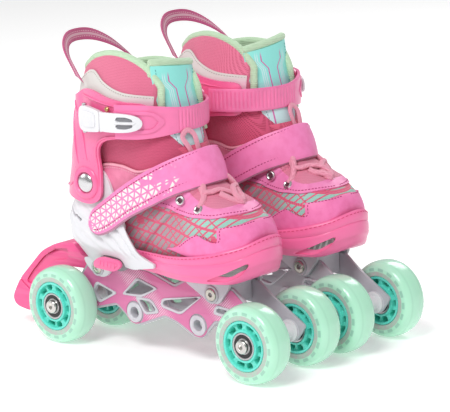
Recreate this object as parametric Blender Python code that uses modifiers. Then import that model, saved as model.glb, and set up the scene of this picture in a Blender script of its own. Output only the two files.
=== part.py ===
"""A pair of children's convertible quad roller skates, as separate named solids.

Each skate is modelled in its own frame, in millimetres: X towards the toes from the middle of
the wheelbase, Z up from the ground, and its outer side towards -Y. The left skate mirrors the
right one. MM turns the lengths into metres where a mesh is made.
"""

import math

import bmesh
import bpy
from mathutils import Matrix, Vector

MM = 0.001
GAP = 0.3

# Pair
SKATE_SPACING = 110.0
TOE_IN = math.radians(1.54)
SKATE_X = 22.03

# Wheels, on 608 bearings
WHEEL_RADIUS = 32.0
WHEEL_WIDTH = 24.0
WHEELBASE = 207.0
TRACK = 61.0
HUB_RADIUS = 20.0
BEARING_RADIUS = 11.0
BEARING_BORE = 4.0
BEARING_WIDTH = 7.0
BEARING_INSET = 0.5
SLEEVE_RADIUS = 6.2
AXLE_RADIUS = 3.9
AXLE_HEAD = 5.5
AXLE_HEAD_HEIGHT = 3.0
WASHER_RADIUS = 7.0
SPACER_RADIUS = 6.0
FLANGE_RADIUS = 9.0
AXLE_Z = WHEEL_RADIUS
AXLE_X = WHEELBASE / 2
SPARE_AXLE_X = AXLE_X / 3

# Frame plates
PLATE_OUTER = 17.0
PLATE_INNER = 14.0
PLATE_TOP = 70.3
BUSH_BORE = 4.6
BUSH_RADIUS = 8.4
BRAKE_HALF_WIDTH = 13.5

# Boot
SOLE_Z = 74.0
SHELL = 2.5
LINING = 3.0
TOE_CENTRE_X = 40.0
TOE_LENGTH = 60.0
BALL_HALF_WIDTH = 43.0
HEEL_HALF_WIDTH = 37.0
PIVOT_X = -61.0
PIVOT_Z = 141.0
CUFF_HALF_WIDTH = 40.0
ARM_RADIUS = 46.6
ARM_X = -28.0
STRAP_REACH = 78.0
LEVER_PIVOT_X = -51.5
LEVER_PIVOT_Y = 47.5
COLLAR_LEAN = 5.0

PINK = (0.93, 0.22, 0.42)
DEEP_PINK = (0.72, 0.06, 0.22)
STRAP_PINK = (0.95, 0.26, 0.55)
WHITE = (0.78, 0.78, 0.8)
GREY = (0.42, 0.41, 0.44)
LIGHT_GREY = (0.6, 0.6, 0.63)
STEEL = (0.65, 0.65, 0.66)
MINT = (0.5, 0.86, 0.66)
TEAL = (0.2, 0.78, 0.68)
MESH_RED = (0.68, 0.12, 0.22)
LINING_GREEN = (0.5, 0.72, 0.46)
TURQUOISE = (0.4, 0.85, 0.78)


# ---------------------------------------------------------------- scene and materials


def clear_scene():
    for old in list(bpy.data.objects):
        bpy.data.objects.remove(old, do_unlink=True)


def collection(name):
    made = bpy.data.collections.new(name)
    bpy.context.scene.collection.children.link(made)
    return made


def material(name, colour, roughness=0.45, metallic=0.0):
    made = bpy.data.materials.get(name)
    if made:
        return made
    made = bpy.data.materials.new(name)
    made.use_nodes = True
    shader = made.node_tree.nodes["Principled BSDF"]
    shader.inputs["Base Color"].default_value = (*colour, 1.0)
    shader.inputs["Roughness"].default_value = roughness
    shader.inputs["Metallic"].default_value = metallic
    return made


clear_scene()
PARTS = collection("roller_skates")


def skate_empty(name, side):
    """The frame of one skate: side -1 is the right skate, and +1 the left, which is mirrored."""
    empty = bpy.data.objects.new(name, None)
    PARTS.objects.link(empty)
    empty.location = (SKATE_X * MM, side * SKATE_SPACING / 2 * MM, 0.0)
    empty.rotation_euler = (0.0, 0.0, -side * TOE_IN)
    empty.scale = (1.0, -side, 1.0)
    return empty


SKATES = {"right": skate_empty("right_skate", -1), "left": skate_empty("left_skate", 1)}


# ---------------------------------------------------------------- making solids


def object_of(mesh, name="piece"):
    made = bpy.data.objects.new(name, mesh)
    PARTS.objects.link(made)
    return made


def evaluated_mesh(obj):
    """The object's mesh with its modifiers applied and its own transform in the points."""
    graph = bpy.context.evaluated_depsgraph_get()
    mesh = bpy.data.meshes.new_from_object(obj.evaluated_get(graph))
    mesh.transform(obj.matrix_world)
    return mesh


def baked(obj):
    """Replaces an object by the plain mesh that it evaluates to."""
    bpy.context.view_layer.update()
    mesh = evaluated_mesh(obj)
    bm = bmesh.new()
    bm.from_mesh(mesh)
    bmesh.ops.remove_doubles(bm, verts=bm.verts, dist=1e-6)
    bm.to_mesh(mesh)
    bm.free()
    bpy.data.objects.remove(obj, do_unlink=True)
    return object_of(mesh)


def turned(profile, steps):
    """A closed or axis-to-axis profile of (radius, y) points, turned about the Y axis."""
    bm = bmesh.new()
    points = [bm.verts.new((r * MM, 0.0, y * MM)) for r, y in profile]
    for a, b in zip(points, points[1:]):
        bm.edges.new((a, b))
    if profile[0][0] > 0.0:
        bm.edges.new((points[-1], points[0]))
    mesh = bpy.data.meshes.new("turned")
    bm.to_mesh(mesh)
    bm.free()
    obj = object_of(mesh)
    screw = obj.modifiers.new("turn", "SCREW")
    screw.steps = steps
    screw.render_steps = steps
    screw.use_merge_vertices = True
    screw.merge_threshold = 0.00001
    obj.rotation_euler = (-math.pi / 2, 0.0, 0.0)
    return baked(obj)


def flat_solid(outline, y_low, y_high, holes=()):
    """An outline of (x, z) points with holes, as thick as from y_low to y_high."""
    curve = bpy.data.curves.new("outline", "CURVE")
    curve.dimensions = "2D"
    curve.fill_mode = "BOTH"
    curve.extrude = (y_high - y_low) / 2 * MM
    for loop in (outline, *holes):
        spline = curve.splines.new("POLY")
        spline.points.add(len(loop) - 1)
        for point, (x, z) in zip(spline.points, loop):
            point.co = (x * MM, z * MM, 0.0, 1.0)
        spline.use_cyclic_u = True
    obj = object_of(curve)
    obj.rotation_euler = (math.pi / 2, 0.0, 0.0)
    obj.location = (0.0, (y_low + y_high) / 2 * MM, 0.0)
    return baked(obj)


def box(low, high):
    bm = bmesh.new()
    bmesh.ops.create_cube(bm, size=1.0)
    size = Vector(high) - Vector(low)
    middle = (Vector(high) + Vector(low)) / 2
    bm.transform(Matrix.Translation(middle * MM) @ Matrix.Diagonal((*(size * MM), 1.0)))
    mesh = bpy.data.meshes.new("box")
    bm.to_mesh(mesh)
    bm.free()
    return object_of(mesh)


def skin(grid, thickness, ring=False, offset=-1.0):
    """A sheet over rows of (x, y, z) points, made as thick as stated; None leaves a gap."""
    bm = bmesh.new()
    made = [[p and bm.verts.new(Vector(p) * MM) for p in row] for row in grid]
    columns = len(grid[0])
    for low, high in zip(made, made[1:]):
        for c in range(columns if ring else columns - 1):
            n = (c + 1) % columns
            corners = (low[c], low[n], high[n], high[c])
            if all(corners):
                bm.faces.new(corners)
    bmesh.ops.remove_doubles(bm, verts=bm.verts, dist=1e-5)
    bmesh.ops.delete(bm, geom=[v for v in bm.verts if not v.link_faces], context="VERTS")
    mesh = bpy.data.meshes.new("skin")
    bm.to_mesh(mesh)
    bm.free()
    obj = object_of(mesh)
    solid = obj.modifiers.new("thickness", "SOLIDIFY")
    solid.thickness = thickness * MM
    solid.offset = offset
    solid.use_even_offset = True
    return baked(obj)


def combined(first, others, operation):
    """Joins pieces to a solid, or cuts them from it, and removes the helpers."""
    for other in others:
        modifier = first.modifiers.new("combine", "BOOLEAN")
        modifier.operation = operation
        modifier.object = other
        modifier.solver = "EXACT"
    first = baked(first)
    for other in others:
        bpy.data.objects.remove(other, do_unlink=True)
    return first


def moved(obj, x=0.0, y=0.0, z=0.0):
    obj.data.transform(Matrix.Translation(Vector((x, y, z)) * MM))
    return obj


def fitted(obj, name, finish, origin=(0.0, 0.0, 0.0), smooth=40.0):
    """Names a finished solid of the right skate and puts it, and its mirror image, in place."""
    moved(obj, *(-c for c in origin))
    obj.data.materials.clear()
    obj.data.materials.append(finish)
    obj.data.shade_smooth()
    obj.data.set_sharp_from_angle(angle=math.radians(smooth))
    for side, empty in SKATES.items():
        piece = obj if side == "right" else object_of(obj.data)
        piece.name = f"{side}_{name}"
        piece.parent = empty
        piece.location = Vector(origin) * MM


# ---------------------------------------------------------------- outlines


def smoothed(points, steps):
    """A smooth curve through the points, with this many stretches between each two."""
    points = [Vector(p) for p in points]
    ends = [2 * points[0] - points[1], *points, 2 * points[-1] - points[-2]]
    curve = []
    for a, b, c, d in zip(ends, ends[1:], ends[2:], ends[3:]):
        for k in range(steps):
            t = k / steps
            square = 2 * a - 5 * b + 4 * c - d
            cube = 3 * b - a - 3 * c + d
            curve.append(0.5 * (2 * b + (c - a) * t + square * t**2 + cube * t**3))
    curve.append(points[-1])
    return curve


def rounded(points, radius, steps=2):
    """A closed outline whose corners are rounded off."""
    outline = []
    count = len(points)
    for k in range(count):
        before, here, after = (Vector(points[(k + d) % count]) for d in (-1, 0, 1))
        reach_in = min(radius, (before - here).length * 0.45)
        reach_out = min(radius, (after - here).length * 0.45)
        start = here + (before - here).normalized() * reach_in
        end = here + (after - here).normalized() * reach_out
        for step in range(steps + 1):
            t = step / steps
            outline.append(tuple(start * (1 - t) ** 2 + here * 2 * t * (1 - t) + end * t**2))
    return outline


def circle(x, z, radius, count):
    turns = [2 * math.pi * (k + 0.5) / count for k in range(count)]
    return [(x + radius * math.cos(a), z + radius * math.sin(a)) for a in turns]


def between(x, table):
    """Reads a smooth value at x from (x, value) pairs in rising order."""
    if x <= table[0][0]:
        return table[0][1]
    for (x0, v0), (x1, v1) in zip(table, table[1:]):
        if x <= x1:
            t = (x - x0) / (x1 - x0)
            return v0 + (v1 - v0) * t
    return table[-1][1]


def eased(t):
    t = min(1.0, max(0.0, t))
    return t * t * (3 - 2 * t)


# ---------------------------------------------------------------- wheels and axles


def tyre():
    half = WHEEL_WIDTH / 2
    side = [(HUB_RADIUS + 0.5, half - 0.5), (26.0, half), (30.5, half - 4.0), (WHEEL_RADIUS, 3.0)]
    return turned(side + [(r, -y) for r, y in reversed(side)], 20)


def lens_window(turn):
    """One of the hub's lens-shaped windows, as an outline round the axle."""
    outline = []
    for k in range(6):
        a = 2 * math.pi * k / 6
        swing = turn + math.radians(26.0) * math.cos(a)
        radius = 15.7 + 2.6 * math.sin(a)
        outline.append((radius * math.cos(swing), radius * math.sin(swing)))
    return outline


def hub():
    half = WHEEL_WIDTH / 2 - 0.3
    seat = BEARING_RADIUS + 0.75
    ledge = WHEEL_WIDTH / 2 - BEARING_INSET - BEARING_WIDTH - GAP
    side = [(seat, ledge), (seat, half), (HUB_RADIUS, half)]
    profile = [(7.6, ledge), *side, *[(r, -y) for r, y in reversed(side)], (7.6, -ledge)]
    body = turned(profile, 10)
    cuts = [flat_solid(lens_window(2 * math.pi * k / 5), -half - 2, half + 2) for k in range(5)]
    return combined(body, cuts, "DIFFERENCE")


def bearing_pair():
    """A wheel's two bearings and the sleeve between their inner rings."""
    outside = WHEEL_WIDTH / 2 - BEARING_INSET
    inside = outside - BEARING_WIDTH
    side = [
        (BEARING_BORE + GAP, outside),
        (BEARING_RADIUS, outside),
        (BEARING_RADIUS, inside),
        (SLEEVE_RADIUS, inside),
    ]
    return turned(side + [(r, -y) for r, y in reversed(side)], 10)


def axle():
    """A wheel axle from head to head, with its washers and the spacer tube between the plates."""
    head = TRACK / 2 + WHEEL_WIDTH / 2 - BEARING_INSET + GAP
    washer = TRACK / 2 - WHEEL_WIDTH / 2 + BEARING_INSET - GAP
    plate = PLATE_OUTER + GAP
    flange = PLATE_INNER - GAP
    side = [
        (0.0, head + AXLE_HEAD_HEIGHT), (AXLE_HEAD, head + AXLE_HEAD_HEIGHT), (AXLE_HEAD, head),
        (AXLE_RADIUS, head), (AXLE_RADIUS, washer), (WASHER_RADIUS, washer), (WASHER_RADIUS, plate),
        (AXLE_RADIUS, plate), (AXLE_RADIUS, flange), (FLANGE_RADIUS, flange),
        (FLANGE_RADIUS, flange - 2.0), (SPACER_RADIUS, flange - 2.0),
    ]
    return turned(side + [(r, -y) for r, y in reversed(side)], 8)


def wheels():
    parts = (
        ("tyre", tyre(), material("tyre", MINT, 0.25)),
        ("hub", hub(), material("hub", TEAL, 0.3)),
        ("bearings", bearing_pair(), material("bearings", STEEL, 0.3, 1.0)),
    )
    for end, x in (("front", AXLE_X), ("rear", -AXLE_X)):
        for edge, y in (("outer", -TRACK / 2), ("inner", TRACK / 2)):
            place = (x, y, AXLE_Z)
            for part, source, finish in parts:
                copy = moved(object_of(source.data.copy()), *place)
                fitted(copy, f"{end}_{edge}_{part}", finish, place)
        fitted(moved(axle(), x, 0.0, AXLE_Z), f"{end}_axle", material("axle", STEEL, 0.25, 1.0))
    for _, source, _ in parts:
        bpy.data.objects.remove(source, do_unlink=True)


# ---------------------------------------------------------------- frame

FRAME_OUTLINE = [
    (-113.0, 30.0), (-109.0, 41.0), (-92.0, 59.0), (-84.0, PLATE_TOP), (-18.5, PLATE_TOP),
    (10.0, 61.5), (22.0, 68.0), (72.0, 68.0), (85.0, 58.0), (119.5, 37.6), (110.0, 24.0),
    (96.0, 24.5), (66.0, 38.0), (53.0, 37.0), (39.0, 22.0), (29.0, 22.0), (12.0, 30.0),
    (-1.0, 33.0), (-28.0, 22.0), (-38.0, 23.0), (-55.0, 35.0), (-77.0, 28.6), (-98.0, 22.0), (-109.0, 22.5),
]
FRAME_WINDOWS = [
    [(-57.0, 45.0), (-74.0, 36.0), (-80.0, 42.0), (-76.0, 50.0)],
    [(-45.0, 46.5), (-30.0, 60.0), (-11.0, 55.5), (-26.0, 48.0)],
    [(-29.5, 44.0), (-22.0, 34.0), (-10.0, 37.0), (-16.0, 44.0)],
    [(-3.0, 43.0), (-2.0, 47.0), (38.5, 56.0), (16.0, 40.0)],
    [(54.0, 46.0), (56.0, 50.0), (68.0, 49.0), (66.0, 45.0)],
]
BRACKET_EAR = [(24.5, 73.4), (24.5, 67.6), (50.0, 54.5), (60.0, 53.5), (71.6, 68.7), (71.6, 73.4)]
LOBE = [(-54.0, 72.5), (-58.0, 62.0), (-64.0, 57.5), (-74.0, 58.5), (-84.0, 66.0), (-87.0, 72.5)]
LOBE_OUTER = 20.8


def frame_plate():
    """The right skate's outer side plate, with a flanged bush at each empty axle place."""
    holes = list(FRAME_WINDOWS)
    holes += [circle(x, AXLE_Z, AXLE_RADIUS + 0.6, 8) for x in (-AXLE_X, AXLE_X)]
    holes += [circle(x, AXLE_Z, BUSH_BORE + 1.5, 8) for x in (-SPARE_AXLE_X, SPARE_AXLE_X)]
    plate = flat_solid(FRAME_OUTLINE, -PLATE_OUTER, -PLATE_INNER, holes)
    rims = []
    for x in (-SPARE_AXLE_X, SPARE_AXLE_X):
        inside = -PLATE_INNER + 5.0
        outside = -PLATE_OUTER - 1.0
        half = [(BUSH_BORE, inside), (BUSH_RADIUS, inside), (BUSH_RADIUS, outside), (BUSH_BORE, outside)]
        rims.append(moved(turned(half, 8), x, 0.0, AXLE_Z))
    return combined(plate, rims, "UNION")


def frame_plates():
    finish = material("frame", GREY, 0.5)
    outer = frame_plate()
    inner = object_of(outer.data.copy())
    inner.data.transform(Matrix.Diagonal((1.0, -1.0, 1.0, 1.0)))
    inner.data.flip_normals()
    fitted(outer, "frame_outer", finish)
    fitted(inner, "frame_inner", finish)


def front_bracket():
    """The grey saddle over the plates that carries the front of the sole."""
    ear_out = PLATE_OUTER + GAP + 3.0
    top = box((24.5, -ear_out, 70.6), (71.6, ear_out, 73.4))
    ears = []
    for sign in (-1, 1):
        low, high = sorted((sign * (PLATE_OUTER + GAP), sign * ear_out))
        ears.append(flat_solid(rounded(BRACKET_EAR, 3.0, 1), low, high))
    block = box((44.0, -PLATE_INNER + GAP, 52.0), (66.0, PLATE_INNER - GAP, 72.0))
    fitted(combined(top, [*ears, block], "UNION"), "front_bracket", material("bracket", LIGHT_GREY, 0.45))


BRAKE_OUTLINE = [
    (-105.0, 80.0), (-125.0, 77.0), (-143.0, 68.0), (-161.0, 50.0), (-171.0, 40.0), (-179.0, 27.0),
    (-181.0, 21.0), (-177.0, 15.0), (-159.0, 12.5), (-153.0, 20.0), (-151.0, 33.0), (-143.0, 46.0),
    (-127.0, 56.5), (-110.0, 59.0), (-86.0, 60.0), (-88.0, 68.0), (-96.0, 70.0), (-102.0, 76.0),
]


def brake():
    """The curved heel brake behind the frame, with its pad at the low end."""
    arm = flat_solid(rounded(BRAKE_OUTLINE, 5.0, 1), -BRAKE_HALF_WIDTH, BRAKE_HALF_WIDTH)
    fitted(arm, "brake", material("brake", PINK, 0.4))


# ---------------------------------------------------------------- boot form

HEEL_BACK = [(58, -86.0), (70, -93.0), (80, -100.0), (90, -105.0), (110, -107.0), (124, -105.5),
             (135, -104.0), (150, -99.6), (190, -90.5), (212, -88.0), (232, -91.0)]


def heel_back(z):
    """How far back the outer skin of the boot reaches at this height."""
    return between(z, HEEL_BACK)


def shell_half_width(x, z):
    """Half the width of the hard heel shell, outside: it stands upright where it reaches forward."""
    low = between(z, [(SOLE_Z - 2, 25.0), (80, 30.5), (88, 35.5), (100, HEEL_HALF_WIDTH)])
    forward = eased((x + 45.0) / 40.0)
    return low + (HEEL_HALF_WIDTH - low) * forward + 3.5 * forward


def heel_column(fraction, z, inset, half_width):
    """A point round the heel: fraction 0 is the middle of the back, 1 is the side at PIVOT_X."""
    a = fraction * math.pi / 2
    back = heel_back(z) + inset
    x = PIVOT_X - (PIVOT_X - back) * math.cos(a)
    return (x, (half_width - inset) * math.sin(a), z)


def mirrored_columns(columns):
    """The columns of one side, from the front to the back, then those of the other side."""
    other = [[p and (p[0], -p[1], p[2]) for p in column] for column in reversed(columns[:-1])]
    return columns + other


def transposed(columns):
    return [list(row) for row in zip(*columns)]


def cuff_gap(z):
    """The room left beside the shell where the cuff swings round it."""
    return 0.6 * eased((z - 110.0) / 10.0)


def heel_shell():
    """The white shell round the heel, with a floor and two lobes that straddle the frame."""
    sides = [
        (10.0, 80.0, 83.0),
        (-3.0, 77.5, 88.0),
        (-13.0, 75.5, 98.0),
        (-23.0, 74.0, 111.0),
        (-33.0, 72.5, 129.0),
        (-44.0, 71.5, 150.0),
    ]
    round_back = [(1.0, 153.0), (0.8, 152.0), (0.6, 147.0), (0.4, 142.0), (0.2, 138.5), (0.0, 137.0)]
    rows = 5
    floor_z = 71.0
    columns = []
    for x, low, high in sides:
        column = [(x, 0.0, floor_z), (x, -14.0, floor_z)] if x < -30 else [None, None]
        for k in range(rows + 1):
            z = low + (high - low) * k / rows
            column.append((x, cuff_gap(z) - shell_half_width(x, z), z))
        columns.append(column)
    for fraction, high in round_back:
        x = heel_column(fraction, floor_z, 0.0, 24.0)[0]
        middle = max(x, -80.0)
        column = [(middle, 0.0, floor_z), (middle * 0.5 + x * 0.5, -14.0 * fraction, floor_z)]
        for k in range(rows + 1):
            z = floor_z + (high - floor_z) * (k / rows) ** 1.15
            inset = 5.5 * eased((z - 104.0) / 15.0)
            half_width = shell_half_width(PIVOT_X, z) + inset - cuff_gap(z) * fraction**4
            point = heel_column(fraction, z, inset, half_width)
            column.append((point[0], -point[1], point[2]))
        columns.append(column)
    return skin(transposed(mirrored_columns(columns)), SHELL, offset=1.0)


BUTTON = [(-63.0, 69.5), (-62.0, 75.5), (-54.0, 79.5), (-34.0, 78.5), (-32.0, 73.5), (-40.0, 68.5)]


def grown(outline, margin):
    """A convex outline moved outwards by about the margin."""
    middle = sum((Vector(p) for p in outline), Vector((0.0, 0.0))) / len(outline)
    return [tuple(Vector(p) + (Vector(p) - middle).normalized() * margin) for p in outline]


def heel_parts():
    shell = heel_shell()
    lobes = []
    for sign in (-1, 1):
        low, high = sorted((sign * (PLATE_OUTER + GAP), sign * LOBE_OUTER))
        lobes.append(flat_solid(rounded(LOBE, 4.0, 1), low, high))
    shell = combined(shell, lobes, "UNION")
    pocket = flat_solid(rounded(grown(BUTTON, 1.0), 4.0, 2), -50.0, -22.5)
    shell = combined(shell, [pocket], "DIFFERENCE")
    fitted(shell, "heel_shell", material("heel_shell", WHITE, 0.35))
    button = flat_solid(rounded(BUTTON, 4.0, 2), -34.0, -26.5)
    fitted(button, "push_button", material("push_button", PINK, 0.35), (-47.0, -30.0, 74.0))


def toe_half_width(x):
    """Half the width of the sole at the ball and the toes."""
    if x > TOE_CENTRE_X:
        return BALL_HALF_WIDTH * math.sqrt(max(0.0, 1 - ((x - TOE_CENTRE_X) / TOE_LENGTH) ** 2))
    return between(x, [(-18, 32.5), (0, 35.0), (10, 37.0), (25, 41.0), (TOE_CENTRE_X, BALL_HALF_WIDTH)])


def sole_rise(x):
    return 9.0 * eased((x - 78.0) / 26.0)


def seam_height(x):
    """The upper edge of the hard toe shell."""
    return between(x, [(-18, 90), (10, 91), (40, 94), (70, 99), (90, 106), (100, 112)])


def toe_shell():
    columns = []
    for x in (-18.0, -4.0, 10.0, 25.0):
        columns.append(toe_column(x, 0.0))
    for step in range(8):
        columns.append(toe_column(TOE_CENTRE_X, step / 7))
    grid = transposed(mirrored_columns(columns))
    return skin(grid, SHELL)


def toe_column(x, swing):
    """The sole and wall at x, or where the toe's edge has swung round to the front."""
    a = swing * math.pi / 2
    edge_x = x + TOE_LENGTH * math.sin(a)
    half = toe_half_width(x) * math.cos(a)
    low = SOLE_Z + sole_rise(edge_x)
    column = []
    for inward, up in ((0.0, 0.0), (0.55, 0.0), (0.93, 0.0), (1.0, 5.0)):
        at_x = x + (edge_x - x) * inward
        column.append((at_x, -half * inward, SOLE_Z + sole_rise(at_x) + up))
    top = seam_height(edge_x)
    for k in (0.5, 1.0):
        across = half - 0.5 * k * math.cos(a)
        column.append((edge_x - 1.5 * k * math.sin(a), -across, low + 5 + (top - low - 5) * k))
    return column


# Sections of the soft boot from the ankle to the toe: (top x, top z), (sole x, sole z), half width
HEEL_SECTIONS = [
    ((27.0, 176.0), (-90.0, 152.0), 33.0),
    ((31.0, 170.0), (-89.0, 126.0), 30.0),
    ((35.0, 165.0), (-91.5, 102.0), 31.0),
    ((38.0, 159.5), (-87.0, 86.0), 30.5),
    ((41.0, 154.0), (-72.0, 82.0), 31.5),
    ((43.5, 149.5), (-26.0, 82.0), 31.0),
]
TOE_SECTIONS = [
    ((45.5, 146.0), (-19.0, 79.5), 29.0),
    ((53.0, 141.5), (10.0, 79.5), 33.0),
    ((64.0, 135.5), (38.0, 79.5), 37.5),
    ((76.0, 128.5), (60.0, 80.0), 34.3),
    ((84.5, 122.5), (77.0, 82.0), 26.9),
    ((90.0, 116.0), (86.5, 86.0), 19.0),
    ((91.6, 107.0), (90.4, 93.5), 8.0),
]


def section_ring(top, sole, half_width, count=16):
    """A closed section: rounded over the foot and squarer at the sole."""
    top = Vector((top[0], 0.0, top[1]))
    sole = Vector((sole[0], 0.0, sole[1]))
    middle = sole * 0.6 + top * 0.4
    points = []
    for k in range(count):
        a = 2 * math.pi * (k + 0.5) / count
        up = math.cos(a)
        out = math.sin(a)
        reach = (top - middle) if up > 0 else (middle - sole)
        square = 0.8 if up > 0 else 0.45
        rise = math.copysign(abs(up) ** (1.0 if up > 0 else 0.8), up)
        across = half_width * math.copysign(abs(out) ** square, out)
        points.append(middle + reach * rise + Vector((0.0, -across, 0.0)))
    return [tuple(p) for p in points]


def soft_boot():
    heel = skin([section_ring(*section) for section in HEEL_SECTIONS], LINING, ring=True)
    fitted(heel, "liner", material("liner", LINING_GREEN, 0.9))
    rings = [section_ring(*section) for section in TOE_SECTIONS]
    tip = [(94.5, 0.0, 101.0)] * len(rings[0])
    toe = skin([*rings, tip], LINING, ring=True)
    fitted(toe, "upper", material("upper", MESH_RED, 0.8))


# ---------------------------------------------------------------- cuff and collar


def cuff_half_width(x, z, inset):
    """Half the width of the cuff, outside, less the inset."""
    lift = eased((z - 150.0) / 35.0)
    half = CUFF_HALF_WIDTH + (ARM_RADIUS - CUFF_HALF_WIDTH) * lift
    centre = PIVOT_X + (ARM_X - PIVOT_X) * lift
    reach = centre - heel_back(z) if x < centre else ARM_RADIUS + 100.0 * (1.0 - lift)
    inside = 1 - ((x - centre) / reach) ** 2
    return (half - inset) * math.sqrt(max(0.0, inside))


def cuff_columns(table, inset, rows, lean=0.0):
    """Columns from the front to the back: (x or None, fraction round the heel, low z, high z).

    The lean draws the wall inwards above the cuff's top edge.
    """
    columns = []
    for x, fraction, low, high in table:
        column = []
        for k in range(rows + 1):
            z = low + (high - low) * k / rows
            inside = inset + lean * eased((z - 212.0) / 30.0)
            if x is None:
                a = fraction * math.pi / 2
                back = heel_back(z) + inside
                at_x = PIVOT_X - (PIVOT_X - back) * math.cos(a)
                column.append((at_x, -cuff_half_width(PIVOT_X, z, inside) * math.sin(a), z))
            else:
                column.append((x, -cuff_half_width(x, z, inside), z))
        columns.append(column)
    return transposed(mirrored_columns(columns))


def cuff():
    table = [
        (2.0, 0, 184.0, 210.0),
        (-14.0, 0, 183.0, 212.0),
        (-30.0, 0, 180.0, 215.0),
        (-40.0, 0, 172.0, 217.5),
        (-46.0, 0, 131.0, 219.0),
        (-53.0, 0, 126.0, 219.0),
        (None, 1.0, 124.0, 218.0),
        (None, 0.8, 125.3, 214.0),
        (None, 0.55, 127.0, 210.0),
        (None, 0.3, 128.2, 208.0),
        (None, 0.0, 128.0, 207.0),
    ]
    return skin(cuff_columns(table, 0.0, 5), SHELL, offset=1.0)


def collar():
    """The padded top of the inner boot, open at the front for the tongue."""
    table = [
        (5.0, 0, 186.0, 230.0),
        (-8.0, 0, 179.0, 237.0),
        (-22.0, 0, 172.0, 241.0),
        (-40.0, 0, 167.0, 242.0),
        (-50.0, 0, 164.0, 240.0),
        (None, 1.0, 162.0, 236.0),
        (None, 0.7, 159.0, 230.0),
        (None, 0.35, 157.0, 225.0),
        (None, 0.0, 157.0, 223.0),
    ]
    return skin(cuff_columns(table, SHELL + 2.2, 4, COLLAR_LEAN), 4.0, offset=1.0)


TONGUE_ROWS = [
    (17.0, 190.0, 20.0),
    (12.0, 203.0, 22.0),
    (8.0, 217.0, 24.0),
    (5.0, 230.0, 24.5),
    (5.0, 241.0, 24.0),
]


def tongue():
    """The padded tongue behind the front strap: rows of (x, z, half width) up its middle."""
    sides = [k / 3 - 1 for k in range(7)]
    rows = [[(x - 5.0 * side**2, half * side, z) for side in sides] for x, z, half in TONGUE_ROWS]
    return skin(rows, 6.0)


def cuff_strap():
    """The ratchet strap round the front of the cuff, deeper where its buckle holds it."""
    rows = []
    steps = 14
    radius = ARM_RADIUS + 3.3
    for part in (0.0, 1.0):
        row = []
        for k in range(steps + 1):
            a = math.radians(STRAP_REACH) * (2 * k / steps - 1)
            deeper = eased(-math.degrees(a) / 60.0)
            low = 187.0 - 4.0 * deeper
            high = 206.0 + 4.5 * deeper
            row.append((ARM_X + radius * math.cos(a), radius * math.sin(a), low + (high - low) * part))
        rows.append(row)
    return skin(rows, 2.6)


def buckle_lever():
    """The white over-centre lever that lies on the strap and is hinged at its rear end."""
    path = []
    radius = ARM_RADIUS + 4.4
    for degrees in (-51.0, -58.0, -68.0, -79.0, -90.0):
        a = math.radians(degrees)
        path.append((ARM_X + radius * math.cos(a), radius * math.sin(a)))
    for x in (-36.0, -44.0, LEVER_PIVOT_X - 1.5):
        path.append((x, -cuff_half_width(x, 196.0, -4.4)))
    heights = (3.0, 6.5, 7.5, 7.5, 8.0, 10.0, 10.5, 8.0)
    rows = [[(x, y, 196.5 + side * h) for (x, y), h in zip(path, heights)] for side in (-1, 0, 1)]
    return skin(rows, 3.0)


# The loop's lower edge from its sewn end to the middle of the back, and the way across its width
LOOP_EDGE = [
    (-62.0, -36.5, 222.0),
    (-72.0, -33.5, 231.0),
    (-86.0, -26.5, 240.5),
    (-97.0, -14.5, 246.5),
    (-101.0, 0.0, 248.0),
]
LOOP_ACROSS = [(-9.0, 0.0, 5.0), (-8.5, 0.0, 6.0), (-7.0, 0.0, 8.0), (-4.0, 0.0, 9.5), (-2.5, 0.0, 9.8)]


def pull_loop():
    """The webbing handle over the back of the collar."""
    low = [Vector(point) for point in LOOP_EDGE]
    high = [point + Vector(across) for point, across in zip(low, LOOP_ACROSS)]
    edges = []
    for edge in (low, high):
        other = [Vector((p.x, -p.y, p.z)) for p in reversed(edge[:-1])]
        edges.append(smoothed(edge + other, 2))
    return skin(edges, 1.6)


INSTEP_LOW = [
    (-57.0, -39.6, 103.0), (-52.8, -39.6, 99.5), (-35.7, -39.8, 105.5), (-12.8, -40.2, 120.0),
    (7.0, -37.0, 130.5), (25.5, -29.0, 140.5), (41.0, -15.0, 146.5), (47.0, 0.0, 148.5),
]
INSTEP_HIGH = [
    (-59.0, -39.6, 110.5), (-55.0, -39.6, 118.5), (-34.0, -39.8, 133.5), (-11.3, -39.2, 148.5),
    (6.0, -34.5, 159.0), (20.5, -25.5, 167.0), (31.0, -13.0, 172.0), (34.0, 0.0, 174.0),
]


def instep_strap():
    """The hook-and-loop strap over the instep, from the inner side to the outer."""
    rows = []
    for edge in (INSTEP_LOW, INSTEP_HIGH):
        rows.append(smoothed(edge + [(x, -y, z) for x, y, z in reversed(edge[:-1])], 2))
    return skin(rows, 2.4, offset=1.0)


def cuff_parts():
    pivot = (PIVOT_X, 0.0, PIVOT_Z)
    fitted(cuff(), "cuff", material("cuff", PINK, 0.35), pivot)
    fitted(collar(), "collar", material("collar", LINING_GREEN, 0.85), pivot)
    fitted(tongue(), "tongue", material("tongue", TURQUOISE, 0.7), pivot)
    fitted(cuff_strap(), "cuff_strap", material("cuff_strap", STRAP_PINK, 0.35), pivot)
    fitted(pull_loop(), "pull_loop", material("pull_loop", DEEP_PINK, 0.8), pivot)
    lever_pivot = (LEVER_PIVOT_X, -LEVER_PIVOT_Y, 196.5)
    fitted(buckle_lever(), "buckle_lever", material("buckle_lever", WHITE, 0.3), lever_pivot)


wheels()
frame_plates()
front_bracket()
brake()
heel_parts()
fitted(toe_shell(), "toe_shell", material("toe_shell", PINK, 0.35))
soft_boot()
fitted(instep_strap(), "instep_strap", material("instep_strap", STRAP_PINK, 0.5))
cuff_parts()
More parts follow.
